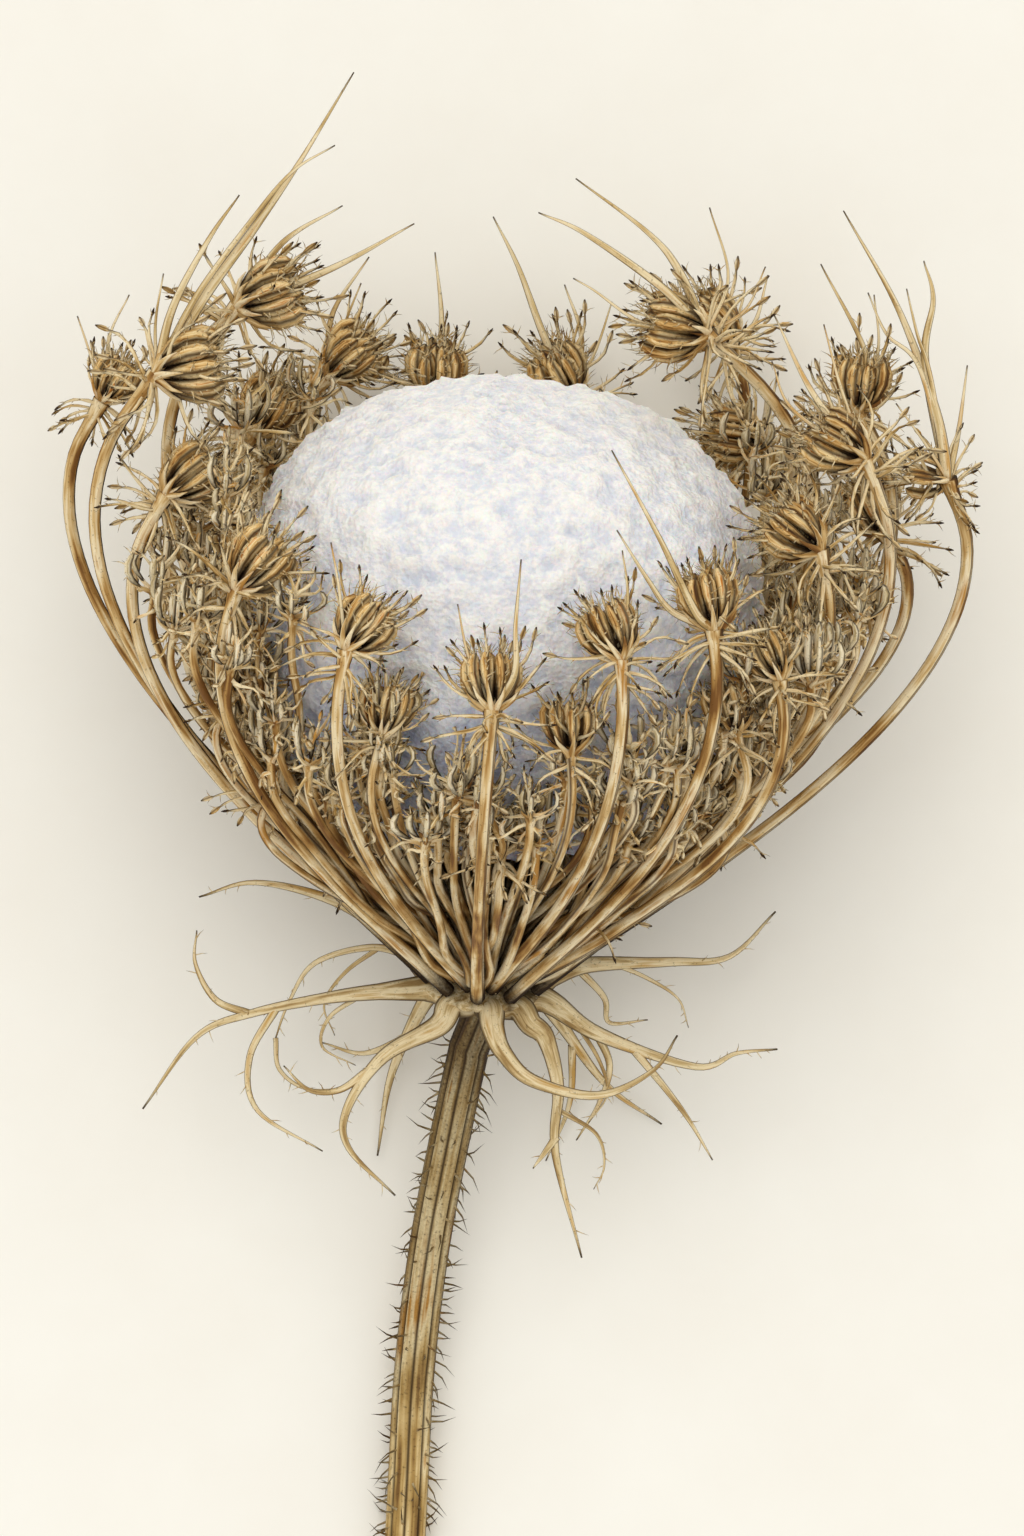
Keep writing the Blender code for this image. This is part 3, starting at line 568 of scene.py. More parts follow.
def out_of_snow(points, radii):
    """The moves that take points on rods of these radii out of the snow, straight away from the axis."""
    axis = np.array(AXIS)
    from_snow = points - np.array(SIDE) * SNOW_SHIFT
    height = from_snow @ axis
    out = from_snow - height[:, None] * axis
    distance = np.linalg.norm(out, axis=1)
    share = snow_share(distance, height - SNOW_CENTRE)
    sunk = radii + 2 * GAP - (share - 1) * min(SNOW_RADIUS, SNOW_HALF_HEIGHT)
    away = out / np.maximum(distance, 1e-6)[:, None]
    return away * np.maximum(sunk, 0)[:, None]


def settle(rays, fixed, rounds=SETTLE_ROUNDS):
    """Bends the rays smoothly, ends held, until they keep clear of each other and of the fixed rods."""
    points = np.array([tuple(p) for _, _, line in rays for p in line])
    thick = np.array([radius for _, radius, line in rays for _ in line])
    floor = thick * math.sqrt(0.5) - NODE_HEIGHT
    starts, owners, radii, held = [], [], [], []
    for owner, (_, radius, line) in enumerate(rays):
        first = len(held)
        starts += range(first, first + len(line) - 1)
        owners += [owner] * (len(line) - 1)
        radii += [radius] * (len(line) - 1)
        held += [True] + [False] * (len(line) - 2) + [True]
    starts, owners, radii, held = (np.array(found) for found in (starts, owners, radii, held))
    fixed_start = np.array([tuple(start) for start, _, _ in fixed])
    fixed_end = np.array([tuple(end) for _, end, _ in fixed])
    fixed_radii = np.array([radius for _, _, radius in fixed])
    one, two = np.triu_indices(len(starts), 1)
    apart_owners = owners[one] != owners[two]
    one, two = one[apart_owners], two[apart_owners]
    for _ in range(rounds):
        move = np.zeros_like(points)
        a, b = points[starts], points[starts + 1]
        gap, on_one, on_two = nearest(a[one], b[one], a[two], b[two])
        push(move, gap, on_one, starts[one], radii[one] + radii[two], 0.5)
        push(move, -gap, on_two, starts[two], radii[one] + radii[two], 0.5)
        gap, on_ray, _ = nearest(a[:, None], b[:, None], fixed_start[None], fixed_end[None])
        need = (radii[:, None] + fixed_radii[None]).reshape(-1)
        push(move, gap.reshape(-1, 3), on_ray.reshape(-1), np.repeat(starts, len(fixed)), need, 1.0)
        move += out_of_snow(points, thick)
        move[held] = 0
        smoothed = move.copy()
        smoothed[1:-1] = 0.5 * move[1:-1] + 0.25 * move[:-2] + 0.25 * move[2:]
        smoothed[held] = 0
        points += smoothed
        points[:, 2] = np.maximum(points[:, 2], floor)
    settled, first = [], 0
    for name, radius, line in rays:
        settled.append((name, radius, [Vector(p) for p in points[first : first + len(line)]]))
        first += len(line)
    return settled


def bract_rods(bract):
    """The rods that stand for a bract where others keep clear of it."""
    for branch in bract:
        line = smooth_line(branch, 2)
        yield from zip(line, line[1:])


bract_room = [(start, end, BRACT_RADIUS) for bract in BRACTS for start, end in bract_rods(bract)]
rays = settle(outer_rays() + inner_rays(), bract_room)
print(len(rays), "rays settled")

# %% [markdown]
# ## From lines to surfaces
#
# A piece is gathered before its mesh is made: points, faces, and three facts for the finishes. `grain` is
# a place measured along and around the fibre, so streaks can run with it. A second fact says how dark a
# point is: darker tips of its own, and painted shade where parts crowd, along sides and undersides, and on
# the snow away from the lamp. `groove` is 1 on top of a rib and 0 between ribs. A mesh made of arrays is
# much faster to build than one made with modifiers, and a seed head has thousands of spines.


# %% A piece and its facts
def placed(points):
    """Points in millimetres from the node, as metres in the frame, never below the table."""
    points = np.asarray(points, float) + (-REST_SPOT[0], -REST_SPOT[1], NODE_HEIGHT)
    points[:, 2] = np.maximum(points[:, 2], 0.0)
    return points * MM


class Piece:
    """Points, faces and facts of one piece, until its mesh is made."""

    def __init__(self):
        self.points, self.grain, self.age, self.groove = [], [], [], []
        self.corners, self.sizes, self.finishes = [], [], []
        self.count = 0

    def add(self, points, faces, grain, age, groove, finish=0):
        """Adds a shape: faces is a list of arrays, each with faces of one size."""
        points = np.asarray(points, float).reshape(-1, 3)
        for found in faces:
            found = np.asarray(found)
            self.corners.append(found.ravel() + self.count)
            self.sizes.append(np.full(len(found), found.shape[1]))
            self.finishes.append(np.full(len(found), finish))
        self.points.append(points)
        self.grain.append(np.broadcast_to(grain, points.shape))
        self.age.append(np.broadcast_to(age, len(points)))
        self.groove.append(np.broadcast_to(groove, len(points)))
        self.count += len(points)

    def made(self, name, paints, slot, *nodes):
        """Makes the object, puts it on the body, and lets it stand for its solids."""
        mesh = bpy.data.meshes.new(name)
        corners, sizes = np.concatenate(self.corners), np.concatenate(self.sizes)
        mesh.vertices.add(self.count)
        mesh.vertices.foreach_set("co", placed(np.concatenate(self.points)).ravel())
        mesh.loops.add(len(corners))
        mesh.loops.foreach_set("vertex_index", corners.astype(np.int32))
        mesh.polygons.add(len(sizes))
        mesh.polygons.foreach_set("loop_start", (np.cumsum(sizes) - sizes).astype(np.int32))
        mesh.polygons.foreach_set("material_index", np.concatenate(self.finishes).astype(np.int32))
        mesh.update(calc_edges=True)
        for fact, values, kind in (
            ("grain", self.grain, "FLOAT_VECTOR"),
            ("age", self.age, "FLOAT"),
            ("groove", self.groove, "FLOAT"),
        ):
            data = mesh.attributes.new(fact, kind, "POINT").data
            data.foreach_set("vector" if kind == "FLOAT_VECTOR" else "value", np.concatenate(values).ravel())
        for paint in paints:
            mesh.materials.append(paint.material)
        mesh.shade_smooth()
        obj = bpy.data.objects.new(name, mesh)
        scene.collection.objects.link(obj)
        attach(obj, "root")
        if nodes:
            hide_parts(*nodes)
        return obj


# %% [markdown]
# ### Sweeping a ribbed section along a line
#
# Stalk, rays, pedicels, bracts and fruits are all one idea: a ring of points carried along a line, with a
# radius at each step and a rib pattern round the ring. Blender's curve bevel does this too, but it can't
# vary the ribs or note the facts at each point.


# %% Sweep
# Painted shade along each side of a stem: how wide its band is, and how much more shade is painted underneath
EDGE_SHADE_WIDTH, UNDERSIDE_SHADE = 0.4, 0.15


def unit(vectors):
    """The same directions, each one long."""
    return vectors / np.maximum(np.linalg.norm(vectors, axis=-1, keepdims=True), 1e-9)


def sweep(piece, line, radii, sides, ribs=(1.0,), age=0.0, seed=0.0, finish=0, flat=1.0, edge_shade=0.0):
    """Adds a tube along the line: ribs is its pattern round the ring, and flat thins it upwards.

    The last argument paints shade along its left and right sides, which gives it a fine dark outline
    seen from above, and a little more shade underneath.
    """
    line, radii = np.array([tuple(p) for p in line]), np.asarray(radii, float)
    count = len(line)
    along = unit(np.gradient(line, axis=0))
    across = np.cross((0, 0, 1), along)
    steep = np.linalg.norm(across, axis=1) < 0.05
    across[steep] = np.cross((1, 0, 0), along[steep])
    across = unit(across)
    rise = np.cross(along, across)
    angle = 2 * np.pi * (np.arange(sides) + 0.5) / sides
    rib = np.resize(np.array(ribs, float), sides)
    level = across[:, None] * np.cos(angle)[None, :, None]
    upright = flat * rise[:, None] * np.sin(angle)[None, :, None]
    ring = level + upright
    points = line[:, None] + ring * (radii[:, None] * rib[None])[..., None]
    run = np.concatenate([[0], np.cumsum(np.linalg.norm(np.diff(line, axis=0), axis=1))])
    grain = np.stack(
        [
            np.cos(angle)[None] * radii[:, None] + seed,
            np.sin(angle)[None] * radii[:, None] + seed * 0.7,
            np.repeat(run[:, None], sides, 1) + seed * 3.1,
        ],
        -1,
    )
    span = max(np.ptp(rib), 1e-9)
    groove = np.broadcast_to((rib - rib.min()) / span if span > 1e-6 else np.ones(sides), (count, sides))
    row = np.arange(count - 1)[:, None] * sides
    side = np.arange(sides)[None]
    after = (side + 1) % sides
    quads = np.stack([row + side, row + after, row + sides + after, row + sides + side], -1).reshape(-1, 4)
    caps = [np.arange(sides)[None, ::-1], (count - 1) * sides + np.arange(sides)[None]]
    height = np.sin(angle)
    # Painted shade: a band along each side, which reads as an outline from above, and more shade underneath
    side_and_under_shade = np.exp(-((height / EDGE_SHADE_WIDTH) ** 2)) + UNDERSIDE_SHADE * (height < 0)
    ages_and_shade = np.repeat(np.broadcast_to(age, count), sides) + edge_shade * np.tile(side_and_under_shade, count)
    piece.add(points, [quads, *caps], grain.reshape(-1, 3), ages_and_shade, groove.ravel(), finish)


# %% Spines, many at once
def spines(piece, starts, ways, lengths, radius, bend, ages_and_shade, seed, finish=0):
    """Adds thin three-sided spines that curve a little, each with its own length."""
    starts, ways = (np.array([tuple(v) for v in vectors]) for vectors in (starts, ways))
    ways = unit(ways)
    lengths = np.array(lengths)[:, None]
    rng = np.random.default_rng(seed)
    across = unit(np.cross(ways, unit(rng.normal(size=ways.shape))))
    rise = np.cross(ways, across)
    middle = starts + ways * lengths * 0.55 + across * lengths * bend * 0.35
    tips = starts + ways * lengths + across * lengths * bend
    rings = []
    for centre, share in ((starts, 1.0), (middle, 0.62)):
        for k in range(3):
            turn = 2 * np.pi * k / 3
            rings.append(centre + (across * math.cos(turn) + rise * math.sin(turn)) * radius * share)
    points = np.stack([*rings, tips], 1)
    first = np.arange(len(starts))[:, None, None] * 7
    quads = (np.array([(0, 1, 4, 3), (1, 2, 5, 4), (2, 0, 3, 5)])[None] + first).reshape(-1, 4)
    ends = (np.array([(3, 4, 6), (4, 5, 6), (5, 3, 6)])[None] + first).reshape(-1, 3)
    grain = points.reshape(-1, 3) * 0.5
    piece.add(points, [quads, ends], grain, np.tile(np.repeat(ages_and_shade, (3, 3, 1)), len(starts)), 1.0, finish)


# %% [markdown]
# ## Finish of the dried stems
#
# A dried ray is a bundle of fibres: tan and ochre streaks that run along it, painted shade between its ribs,
# and painted shade, nearly black, where the rays crowd together at the node. The streaks come from noise
# that is squeezed around the stem and stretched along it. A second, slow noise gives whole stretches a
# warmer or a duller tone, as old stems have.


# %% Dried stem
FIBRE_SHARE, TONE_CONTRAST = 0.65, 1.3  # how much of the tone the fibres make, and how far it swings
# How deep the painted shade between the ribs is, and how dark the specks are
GROOVE_SHADE, SPECK_DARK = 0.88, 0.5
FIBRE_HEIGHT = 0.00012  # metres


def stem_paint(name, stops, groove_shade_and_speck_colour, age_and_shade_colour, streak, drift, rough=0.66):
    """Streaks along the fibre, painted shade in the grooves, and a darker tone from age and painted shade.

    streak says how fine the fibres are across the stem, and drift how soon they change along it.
    """
    paint = Paint(name, Specular_IOR_Level=0.15)
    grain = paint.fact("grain", 1)
    fibre = paint.noise(paint.stretched(grain, (streak, streak, drift)), 1.6, 3.0, 0.6)
    slow = paint.noise(paint.stretched(grain, (0.5, 0.5, 0.22)), 1.0, 2.0, 0.5)
    speck = paint.noise(grain, 5.0, 2.0, 0.6)
    blend = fibre * FIBRE_SHARE + slow * (1 - FIBRE_SHARE)
    tone = paint.ramp((blend - 0.5) * TONE_CONTRAST + 0.5, stops)
    # Painted shade between the ribs
    groove = 1 - paint.step(paint.fact("groove"), 0.0, 0.75)
    # Darker where the mesh says so: darker tips of their own, and painted shade where parts crowd and on
    # sides and undersides
    age_and_shade_mask = paint.step(paint.fact("age") + (speck - 0.5) * 0.35, 0.15, 1.0)
    shade = paint.mix(groove * GROOVE_SHADE, tone, colour(groove_shade_and_speck_colour))
    shade = paint.mix(paint.step(speck, 0.6, 0.72, 0.0, SPECK_DARK), shade, colour(groove_shade_and_speck_colour))
    shade = paint.mix(age_and_shade_mask, shade, colour(age_and_shade_colour))
    paint.feed("Base Color", shade)
    paint.feed("Roughness", rough + (fibre - 0.5) * 0.3)
    paint.bump(fibre * 0.7 + speck * 0.3, 0.5, FIBRE_HEIGHT)
    return paint


STEM_STOPS = [(0.34, "#7A5227"), (0.42, "#AD8347"), (0.49, "#D3B37B"), (0.57, "#F0DFB8"), (0.68, "#B98742")]
ray_paint = stem_paint("dried_ray", STEM_STOPS, "#4A2D10", "#26170A", 1.0, 0.06)
STALK_STOPS = [(0.34, "#75552C"), (0.42, "#AA894E"), (0.5, "#CFB27A"), (0.58, "#EAD6A6"), (0.68, "#B98740")]
stalk_paint = stem_paint("dried_stalk", STALK_STOPS, "#2E1E0C", "#2E2012", 0.75, 0.03)
BRACT_STOPS = [(0.34, "#A08150"), (0.43, "#CBB07C"), (0.53, "#ECDAB0"), (0.68, "#C39A55")]
bract_paint = stem_paint("pale_bract", BRACT_STOPS, "#4E3819", "#2E1F0D", 1.4, 0.08)
BLADE_STOPS = [(0.34, "#A5854F"), (0.43, "#CCB07A"), (0.53, "#EBDAB2"), (0.68, "#C99C58")]
blade_paint = stem_paint("pale_blade", BLADE_STOPS, "#4A3216", "#2C1B0A", 1.6, 0.06)
stem_paints = (ray_paint, stalk_paint, bract_paint, blade_paint)
print("finishes of stems:", [paint.material.name for paint in stem_paints])

# %% [markdown]
# ## Finish of the ripe fruits
#
# A ripe fruit is a small ribbed spindle, warm brown with painted shade between its ribs, and painted shade
# darkens it towards the hub where many of them meet. Its spines are paler, with dark tips. The small heads
# deep in the cup have faded, and their strands are the palest of all.

# %% Ripe fruit
FRUIT_STOPS = [(0.3, "#6B431D"), (0.39, "#B07F3F"), (0.48, "#DDB471"), (0.58, "#F4DCA6"), (0.7, "#CA7F2C")]
fruit_paint = stem_paint("ripe_fruit", FRUIT_STOPS, "#2E1A0A", "#24150A", 2.6, 0.2, 0.6)
FADED_STOPS = [(0.3, "#8A744C"), (0.39, "#C2AC7E"), (0.48, "#E2D2AC"), (0.58, "#F4E8CA"), (0.7, "#CF9E52")]
faded_paint = stem_paint("faded_fruit", FADED_STOPS, "#402D14", "#2E2110", 2.6, 0.2, 0.65)
SPINE_STOPS = [(0.34, "#93703A"), (0.42, "#CDAC70"), (0.52, "#F0DFB6"), (0.68, "#C89B50")]
spine_paint = stem_paint("dry_spine", SPINE_STOPS, "#6A4A20", "#2A1808", 2.4, 0.2, 0.7)
WISP_STOPS = [(0.34, "#AE8A4E"), (0.42, "#E0C082"), (0.52, "#FBECC4"), (0.68, "#DDA34A")]
wisp_paint = stem_paint("faded_wisp", WISP_STOPS, "#7A5A30", "#38250F", 2.4, 0.2, 0.7)
head_paints = (fruit_paint, faded_paint, spine_paint, wisp_paint)
print("finishes of heads:", [paint.material.name for paint in head_paints])

# %% [markdown]
# ## One umbellet
#
# At the end of each ray the stem splits into short pale scales that clasp the fruits. The fruits stand in
# rings, fan out from the hub and close a little again at their blunt ends. Each has rows of hooked spines. A
# halo of fine strands stands out round them and hangs below. They are spread with the golden angle, the
# turn that sunflower seeds use, so that no two line up, and each ends in a dark knob or a small unripe seed.


# %% Directions over a cap
LEAN_IN = 0.35


def spread(direction, count, narrowest, widest, turn):
    """Unit vectors spread evenly over a cap round a direction, between two angles in degrees."""
    direction = direction.normalized()
    across = direction.orthogonal().normalized()
    beside = direction.cross(across)
    high, low = (math.cos(math.radians(angle)) for angle in (narrowest, widest))
    found = []
    for i in range(count):
        along = high - (high - low) * (i + 0.5) / count
        out = math.sqrt(1 - along**2)
        angle = GOLDEN_TURN * i + turn
        found.append(direction * along + (across * math.cos(angle) + beside * math.sin(angle)) * out)
    return found


def facing(hub, way):
    """The direction that an umbellet's fruits face, leaning in over the snow."""
    height = hub.dot(AXIS)
    inward = (AXIS * height - hub).normalized()
    return (Vector((*way, 0)).normalized() + LEAN_IN * inward).normalized()


def end_way(line):
    """The direction in which a line ends."""
    return (line[-1] - line[-2]).normalized()


def round_way(along, turn):
    """A direction square to a stem that runs this way, turned round it by an angle in radians."""
    return Matrix.Rotation(turn, 3, along) @ along.orthogonal().normalized()


# %% A fruit of the fan, with its scale and spines
# Share of the length, share of the thickness, and darkness at each step along a fruit
FRUIT_FORM = ((0.0, 0.26), (0.13, 0.48), (0.33, 0.76), (0.56, 1.0), (0.77, 1.02), (0.92, 0.74), (1.0, 0.2))
# Painted shade at a fruit's base, where the fruits crowd at the hub, and darker towards its tip
FRUIT_DARKENING = (1.0, 0.82, 0.48, 0.16, 0.05, 0.2, 0.6)
FRUIT_RIBS, SIMPLE_RIBS = (1.0, 0.96, 0.72, 0.96), (1.0, 0.95, 0.74)
FAN_LENGTH, FAN_RADIUS = 4.1, 2.0
BOW_START, BOW_SPAN = 0.11, 0.58  # the part of a half wave that an outer fruit follows
FRUIT_RADIUS, SPINE_LENGTH = 0.56, 1.3
SCALE_RADII = np.array([0.3, 0.32, 0.3, 0.24, 0.16, 0.04])
SPINE_AGES = (0.1, 0.45, 1.0)


def add_fruit(piece, hub, stem, way, out, layer, size, rng, seed, spine_count, sides, ragged):
    """A pale scale, a ribbed fruit that bows out as far as its layer of the fan, and the fruit's spines.

    ragged is 0 for a sound head and nears 1 for one whose fruits differ much in length and place.
    """
    length = FAN_LENGTH * size * rng.uniform(0.86 - 0.4 * ragged, 1.08 + 0.2 * ragged)
    wide = FAN_RADIUS * size * layer * rng.uniform(0.92 - 0.3 * ragged, 1.1 + 0.7 * ragged)
    foot = hub + way * (0.45 - 0.35 * layer) * size
    girth = FRUIT_RADIUS * size * rng.uniform(0.88 - 0.5 * ragged, 1.1 - 0.3 * ragged)

    def centre(share):
        bow = math.sin(math.pi * (BOW_START + BOW_SPAN * share))
        return foot + way * (share * length) + out * (wide * bow)

    line = [centre(share) for share, _ in FRUIT_FORM]
    scale_tip = centre(rng.uniform(0.25, 0.45)) + out * girth
    root = hub - stem * rng.uniform(0.3, 1.3) * size
    scale = bezier((root, hub + stem * 0.2 * size, foot + out * (0.5 * wide + girth), scale_tip), 5)
    sweep(piece, scale, SCALE_RADII * size, sides - 2, age=0.05, seed=seed, edge_shade=0.6)
    radii = [girth * radius for _, radius in FRUIT_FORM]
    ribs = FRUIT_RIBS if sides > 6 else SIMPLE_RIBS
    sweep(piece, line, radii, sides, ribs, age=FRUIT_DARKENING, seed=seed, finish=1, edge_shade=1.0)
    starts, ways, lengths = [], [], []
    first_share = 0.35 if layer > 0.7 else 0.75
    for i in range(spine_count):
        share = first_share + (1 - first_share) * (i + rng.random()) / spine_count
        away = (out * (1.25 - share) + way * (share - 0.3)).normalized()
        side = way.cross(out).normalized() * rng.uniform(-0.9, 0.9)
        starts.append(centre(share) + away * girth * 0.6)
        ways.append(away + side)
        lengths.append(SPINE_LENGTH * size * rng.uniform(0.5, 1.15))
    spines(piece, starts, ways, lengths, 0.075, 0.4, SPINE_AGES, int(seed * 97), 2)


# %% The halo of fine strands
FRAME_SHIFT = (REST_SPOT[0], REST_SPOT[1], -NODE_HEIGHT)
LOW_SIDE, HIGH_SIDE = ([v / MM + shift for v, shift in zip(corner, FRAME_SHIFT)] for corner in cad_box)
PAST_BOX = 0.6  # millimetres that a strand may stand out of the solids' box
STRAND_RADII = (0.21, 0.17, 0.15, 0.13, 0.12, 0.11, 0.07)
# Painted shade at a strand's foot by the hub, and a darker tip
STRAND_DARKENING = (0.5, 0.25, 0.05, 0.0, 0.1, 0.3, 0.75)
TIP_STEPS, TIP_RADII, TIP_SUNK = (0, 0.3, 0.65, 1), np.array([0.45, 1.0, 0.9, 0.25]), 0.2
HALO_NARROWEST, HALO_WIDEST = 16.0, 132.0  # degrees from the way that the fruits face
# By how far ahead a strand points: where its foot is, behind or before the hub, and how far it reaches
STRAND_FEET = ((-0.6, -0.1, 0.5), (-1.5, -0.4, 2.0))
STRAND_REACHES = ((-0.7, -0.1, 0.3, 1.0), (4.1, 5.5, 5.0, 4.6))
# Strands that point up would hide the fruits from above, so over half of them are left out
UPWARD, UPWARD_LEFT_OUT = 0.6, 0.55
# Strands of a ragged head that point out of the cup keep only this share of their length
OUTWARD, OUTWARD_REACH = 0.15, 0.45


def within(point):
    """True while a point stays in the box of the solids, or just outside it."""
    sides = zip(LOW_SIDE, point, HIGH_SIDE)
    return all(low - PAST_BOX < value < high + PAST_BOX for low, value, high in sides)


def add_halo(piece, hub, stem, way, count, size, seed, sides, spinelets, ragged):
    """Fine knotty strands round the head, each with a dark knob or a small seed at its end."""
    rng = random.Random(int(seed * 53) + 5)
    outward = (hub - AXIS * hub.dot(AXIS)).normalized()
    starts, ways, lengths = [], [], []
    for i, out in enumerate(spread(way, count, HALO_NARROWEST, HALO_WIDEST, seed)):
        out = (out + Vector([rng.uniform(-0.18, 0.18) for _ in range(3)])).normalized()
        if out.z > UPWARD and rng.random() < UPWARD_LEFT_OUT:
            continue
        ahead = out.dot(way)
        lift = size * (float(np.interp(ahead, *STRAND_FEET)) + rng.uniform(-0.5, 0.2))
        foot = hub + (way if lift > 0 else stem) * lift
        reach = size * float(np.interp(ahead, *STRAND_REACHES))
        reach *= rng.uniform(0.66, 1.08) * (1 - 0.15 * ragged)
        if ragged and out.dot(outward) > OUTWARD:
            reach *= OUTWARD_REACH
        curl = way * (rng.uniform(0.0, 0.5) if ahead > 0.1 else rng.uniform(-0.5, 0.1))
        while reach > 1.2 and not within(foot + (out + curl) * reach):
            reach *= 0.85
        end = foot + (out + curl).normalized() * reach
        sway = out.cross(way) * rng.uniform(-0.9, 0.9) + way * rng.uniform(-0.5, 0.5)
        sway = sway * size * (1 + 1.1 * ragged)
        line = bezier((foot, foot + out * reach * 0.35 - sway, foot + out * reach * 0.7 + sway, end), 6)
        stout = size**0.4 * (1 + 0.25 * ragged)
        radii = [radius * stout * rng.uniform(0.75, 1.35) for radius in STRAND_RADII]
        sweep(piece, line, radii, sides, age=STRAND_DARKENING, seed=seed + i, finish=2, edge_shade=0.55)
        along = end_way(line)
        if rng.random() < 0.5:  # an unripe seed, or else a knob
            long, thick, age = 1.15 * size, 0.21 * stout, (0.4, 0.1, 0.2, 0.9)
        else:
            long, thick, age = 0.75, 0.12, (0.3, 0.7, 0.9, 1.0)
        tip = [line[-1] + along * (share * long - TIP_SUNK) for share in TIP_STEPS]
        sweep(piece, tip, TIP_RADII * thick, sides, (1.0, 0.8), age=age, seed=seed + i, finish=2, edge_shade=0.3)
        for k in range(spinelets):
            side = round_way(along, k * 2.4 + seed)
            starts.append(line[-1 - k % 4])
            ways.append(along * rng.uniform(0.4, 1.3) + side)
            lengths.append(rng.uniform(0.4, 0.95) * size)
    spines(piece, starts, ways, lengths, 0.06, 0.35, SPINE_AGES, int(seed * 41), 2)


# %% A whole head
LAYERS = (1.0, 0.52, 0.0)  # how far out each ring of fruits bows: outside, halfway and in the middle


def add_head(
    piece, hub, stem, way, size, rings, strands, spine_count, seed, sides=8, spinelets=5, ragged=0.0
):
    """The umbellet at the end of a ray: rings says how many fruits each layer has."""
    rng = random.Random(int(seed * 31) + SEED)
    across = way.orthogonal().normalized()
    beside = way.cross(across)
    for ring, (count, layer) in enumerate(zip(rings, LAYERS)):
        for i in range(count):
            angle = seed + ring * 0.4 + 2 * math.pi * (i + rng.uniform(-0.15, 0.15)) / count
            out = across * math.cos(angle) + beside * math.sin(angle)
            tone = seed + i * 1.7 + ring * 0.9
            add_fruit(piece, hub, stem, way, out, layer, size, rng, tone, spine_count, sides, ragged)
    add_halo(piece, hub, stem, way, strands, size, seed, sides // 2 + 1, spinelets, ragged)


# %% [markdown]
# ## The rays
#
# A ray is round and finely ribbed, a little thicker where it leaves the node and where it opens into its
# pedicels. Where the lowest rays carry the head they are pressed flat on the table, because no point goes
# below it. The long bracteoles of the outer heads are flat blades that end in a hair.

# %% Outer rays
HEAD_SIZES = [0.95, 0.95, 1.0, 0.8, 1.0, 1.08, 0.78, 0.95, 1.08, 1.0, 1.0]
HEAD_SIZES += [1.0, 1.0, 1.0, 1.0, 1.0, 1.12, 0.78, 1.12, 1.0, 1.08, 0.95]
OUTER_FRUITS, OUTER_STRANDS, OUTER_SPINES = (10, 5, 1), 42, 8
BARE_RAY, BARE_FRUITS = 6, (4, 1, 0)  # this ray carries blades, and hardly any fruit
RAY_RIBS = (1.03, 1.04, 1.03, 1.01, 1.03, 1.04, 1.0, 0.87)
EDGED_RIBS = (0.9, 0.955, 1.0, 1.0, 0.955, 0.9)  # round above and below, with a groove along each side


def ray_thickness(count, radius):
    """Radii along a ray: full at the root, slim in the middle, and open at the hub."""
    share = np.linspace(0, 1, count)
    slim = 1.0 - 0.14 * np.sin(np.pi * np.clip(share * 1.05, 0, 1)) - 0.14 * share
    return radius * (slim + 0.45 * np.clip((share - 0.95) / 0.05, 0, 1) ** 2)


def ray_shade(count, dark, most):
    """Painted shade over this share of the ray, where the rays crowd at the node, and a touch at the hub."""
    share = np.linspace(0, 1, count)
    return most * np.exp(-((share / dark) ** 1.8)) + 0.2 * np.clip((share - 0.96) / 0.04, 0, 1)


def shaded_share(line, fewest, most):
    """How much of a ray is dark: little in front, where light reaches its root, and more behind."""
    out = line[2] - AXIS * line[2].dot(AXIS)
    return fewest + (most - fewest) * (0.5 - 0.5 * out.normalized().dot(TOP)) ** 0.8


def add_ray(piece, line, radius, seed, sides, dark, most):
    """A ray's ribbed tube, with painted shade over this share of it, at most this dark."""
    fine = smooth_line(line, 4)
    age = ray_shade(len(fine), dark, most)
    ribs = np.roll(RAY_RIBS, int(seed * 7))
    sweep(piece, fine, ray_thickness(len(fine), radius), sides, ribs, age=age, seed=seed, edge_shade=1.05)


def add_blade(piece, hub, points, seed, slim=1.0):
    """A long bracteole: a slim flat blade that ends in a hair."""
    blade = smooth_line([hub, *points], 10)
    share = np.linspace(0, 1, len(blade))
    length = sum((b - a).length for a, b in zip(blade, blade[1:]))
    widest = min(0.55, 0.2 + length * 0.015) * slim
    radii = np.interp(share, (0, 0.08, 0.5, 1), (0.36 * slim, widest, widest * 0.68, 0.06))
    sweep(piece, blade, radii, 12, EDGED_RIBS, age=0.9 * share**12, seed=seed, finish=3, flat=0.6, edge_shade=0.8)


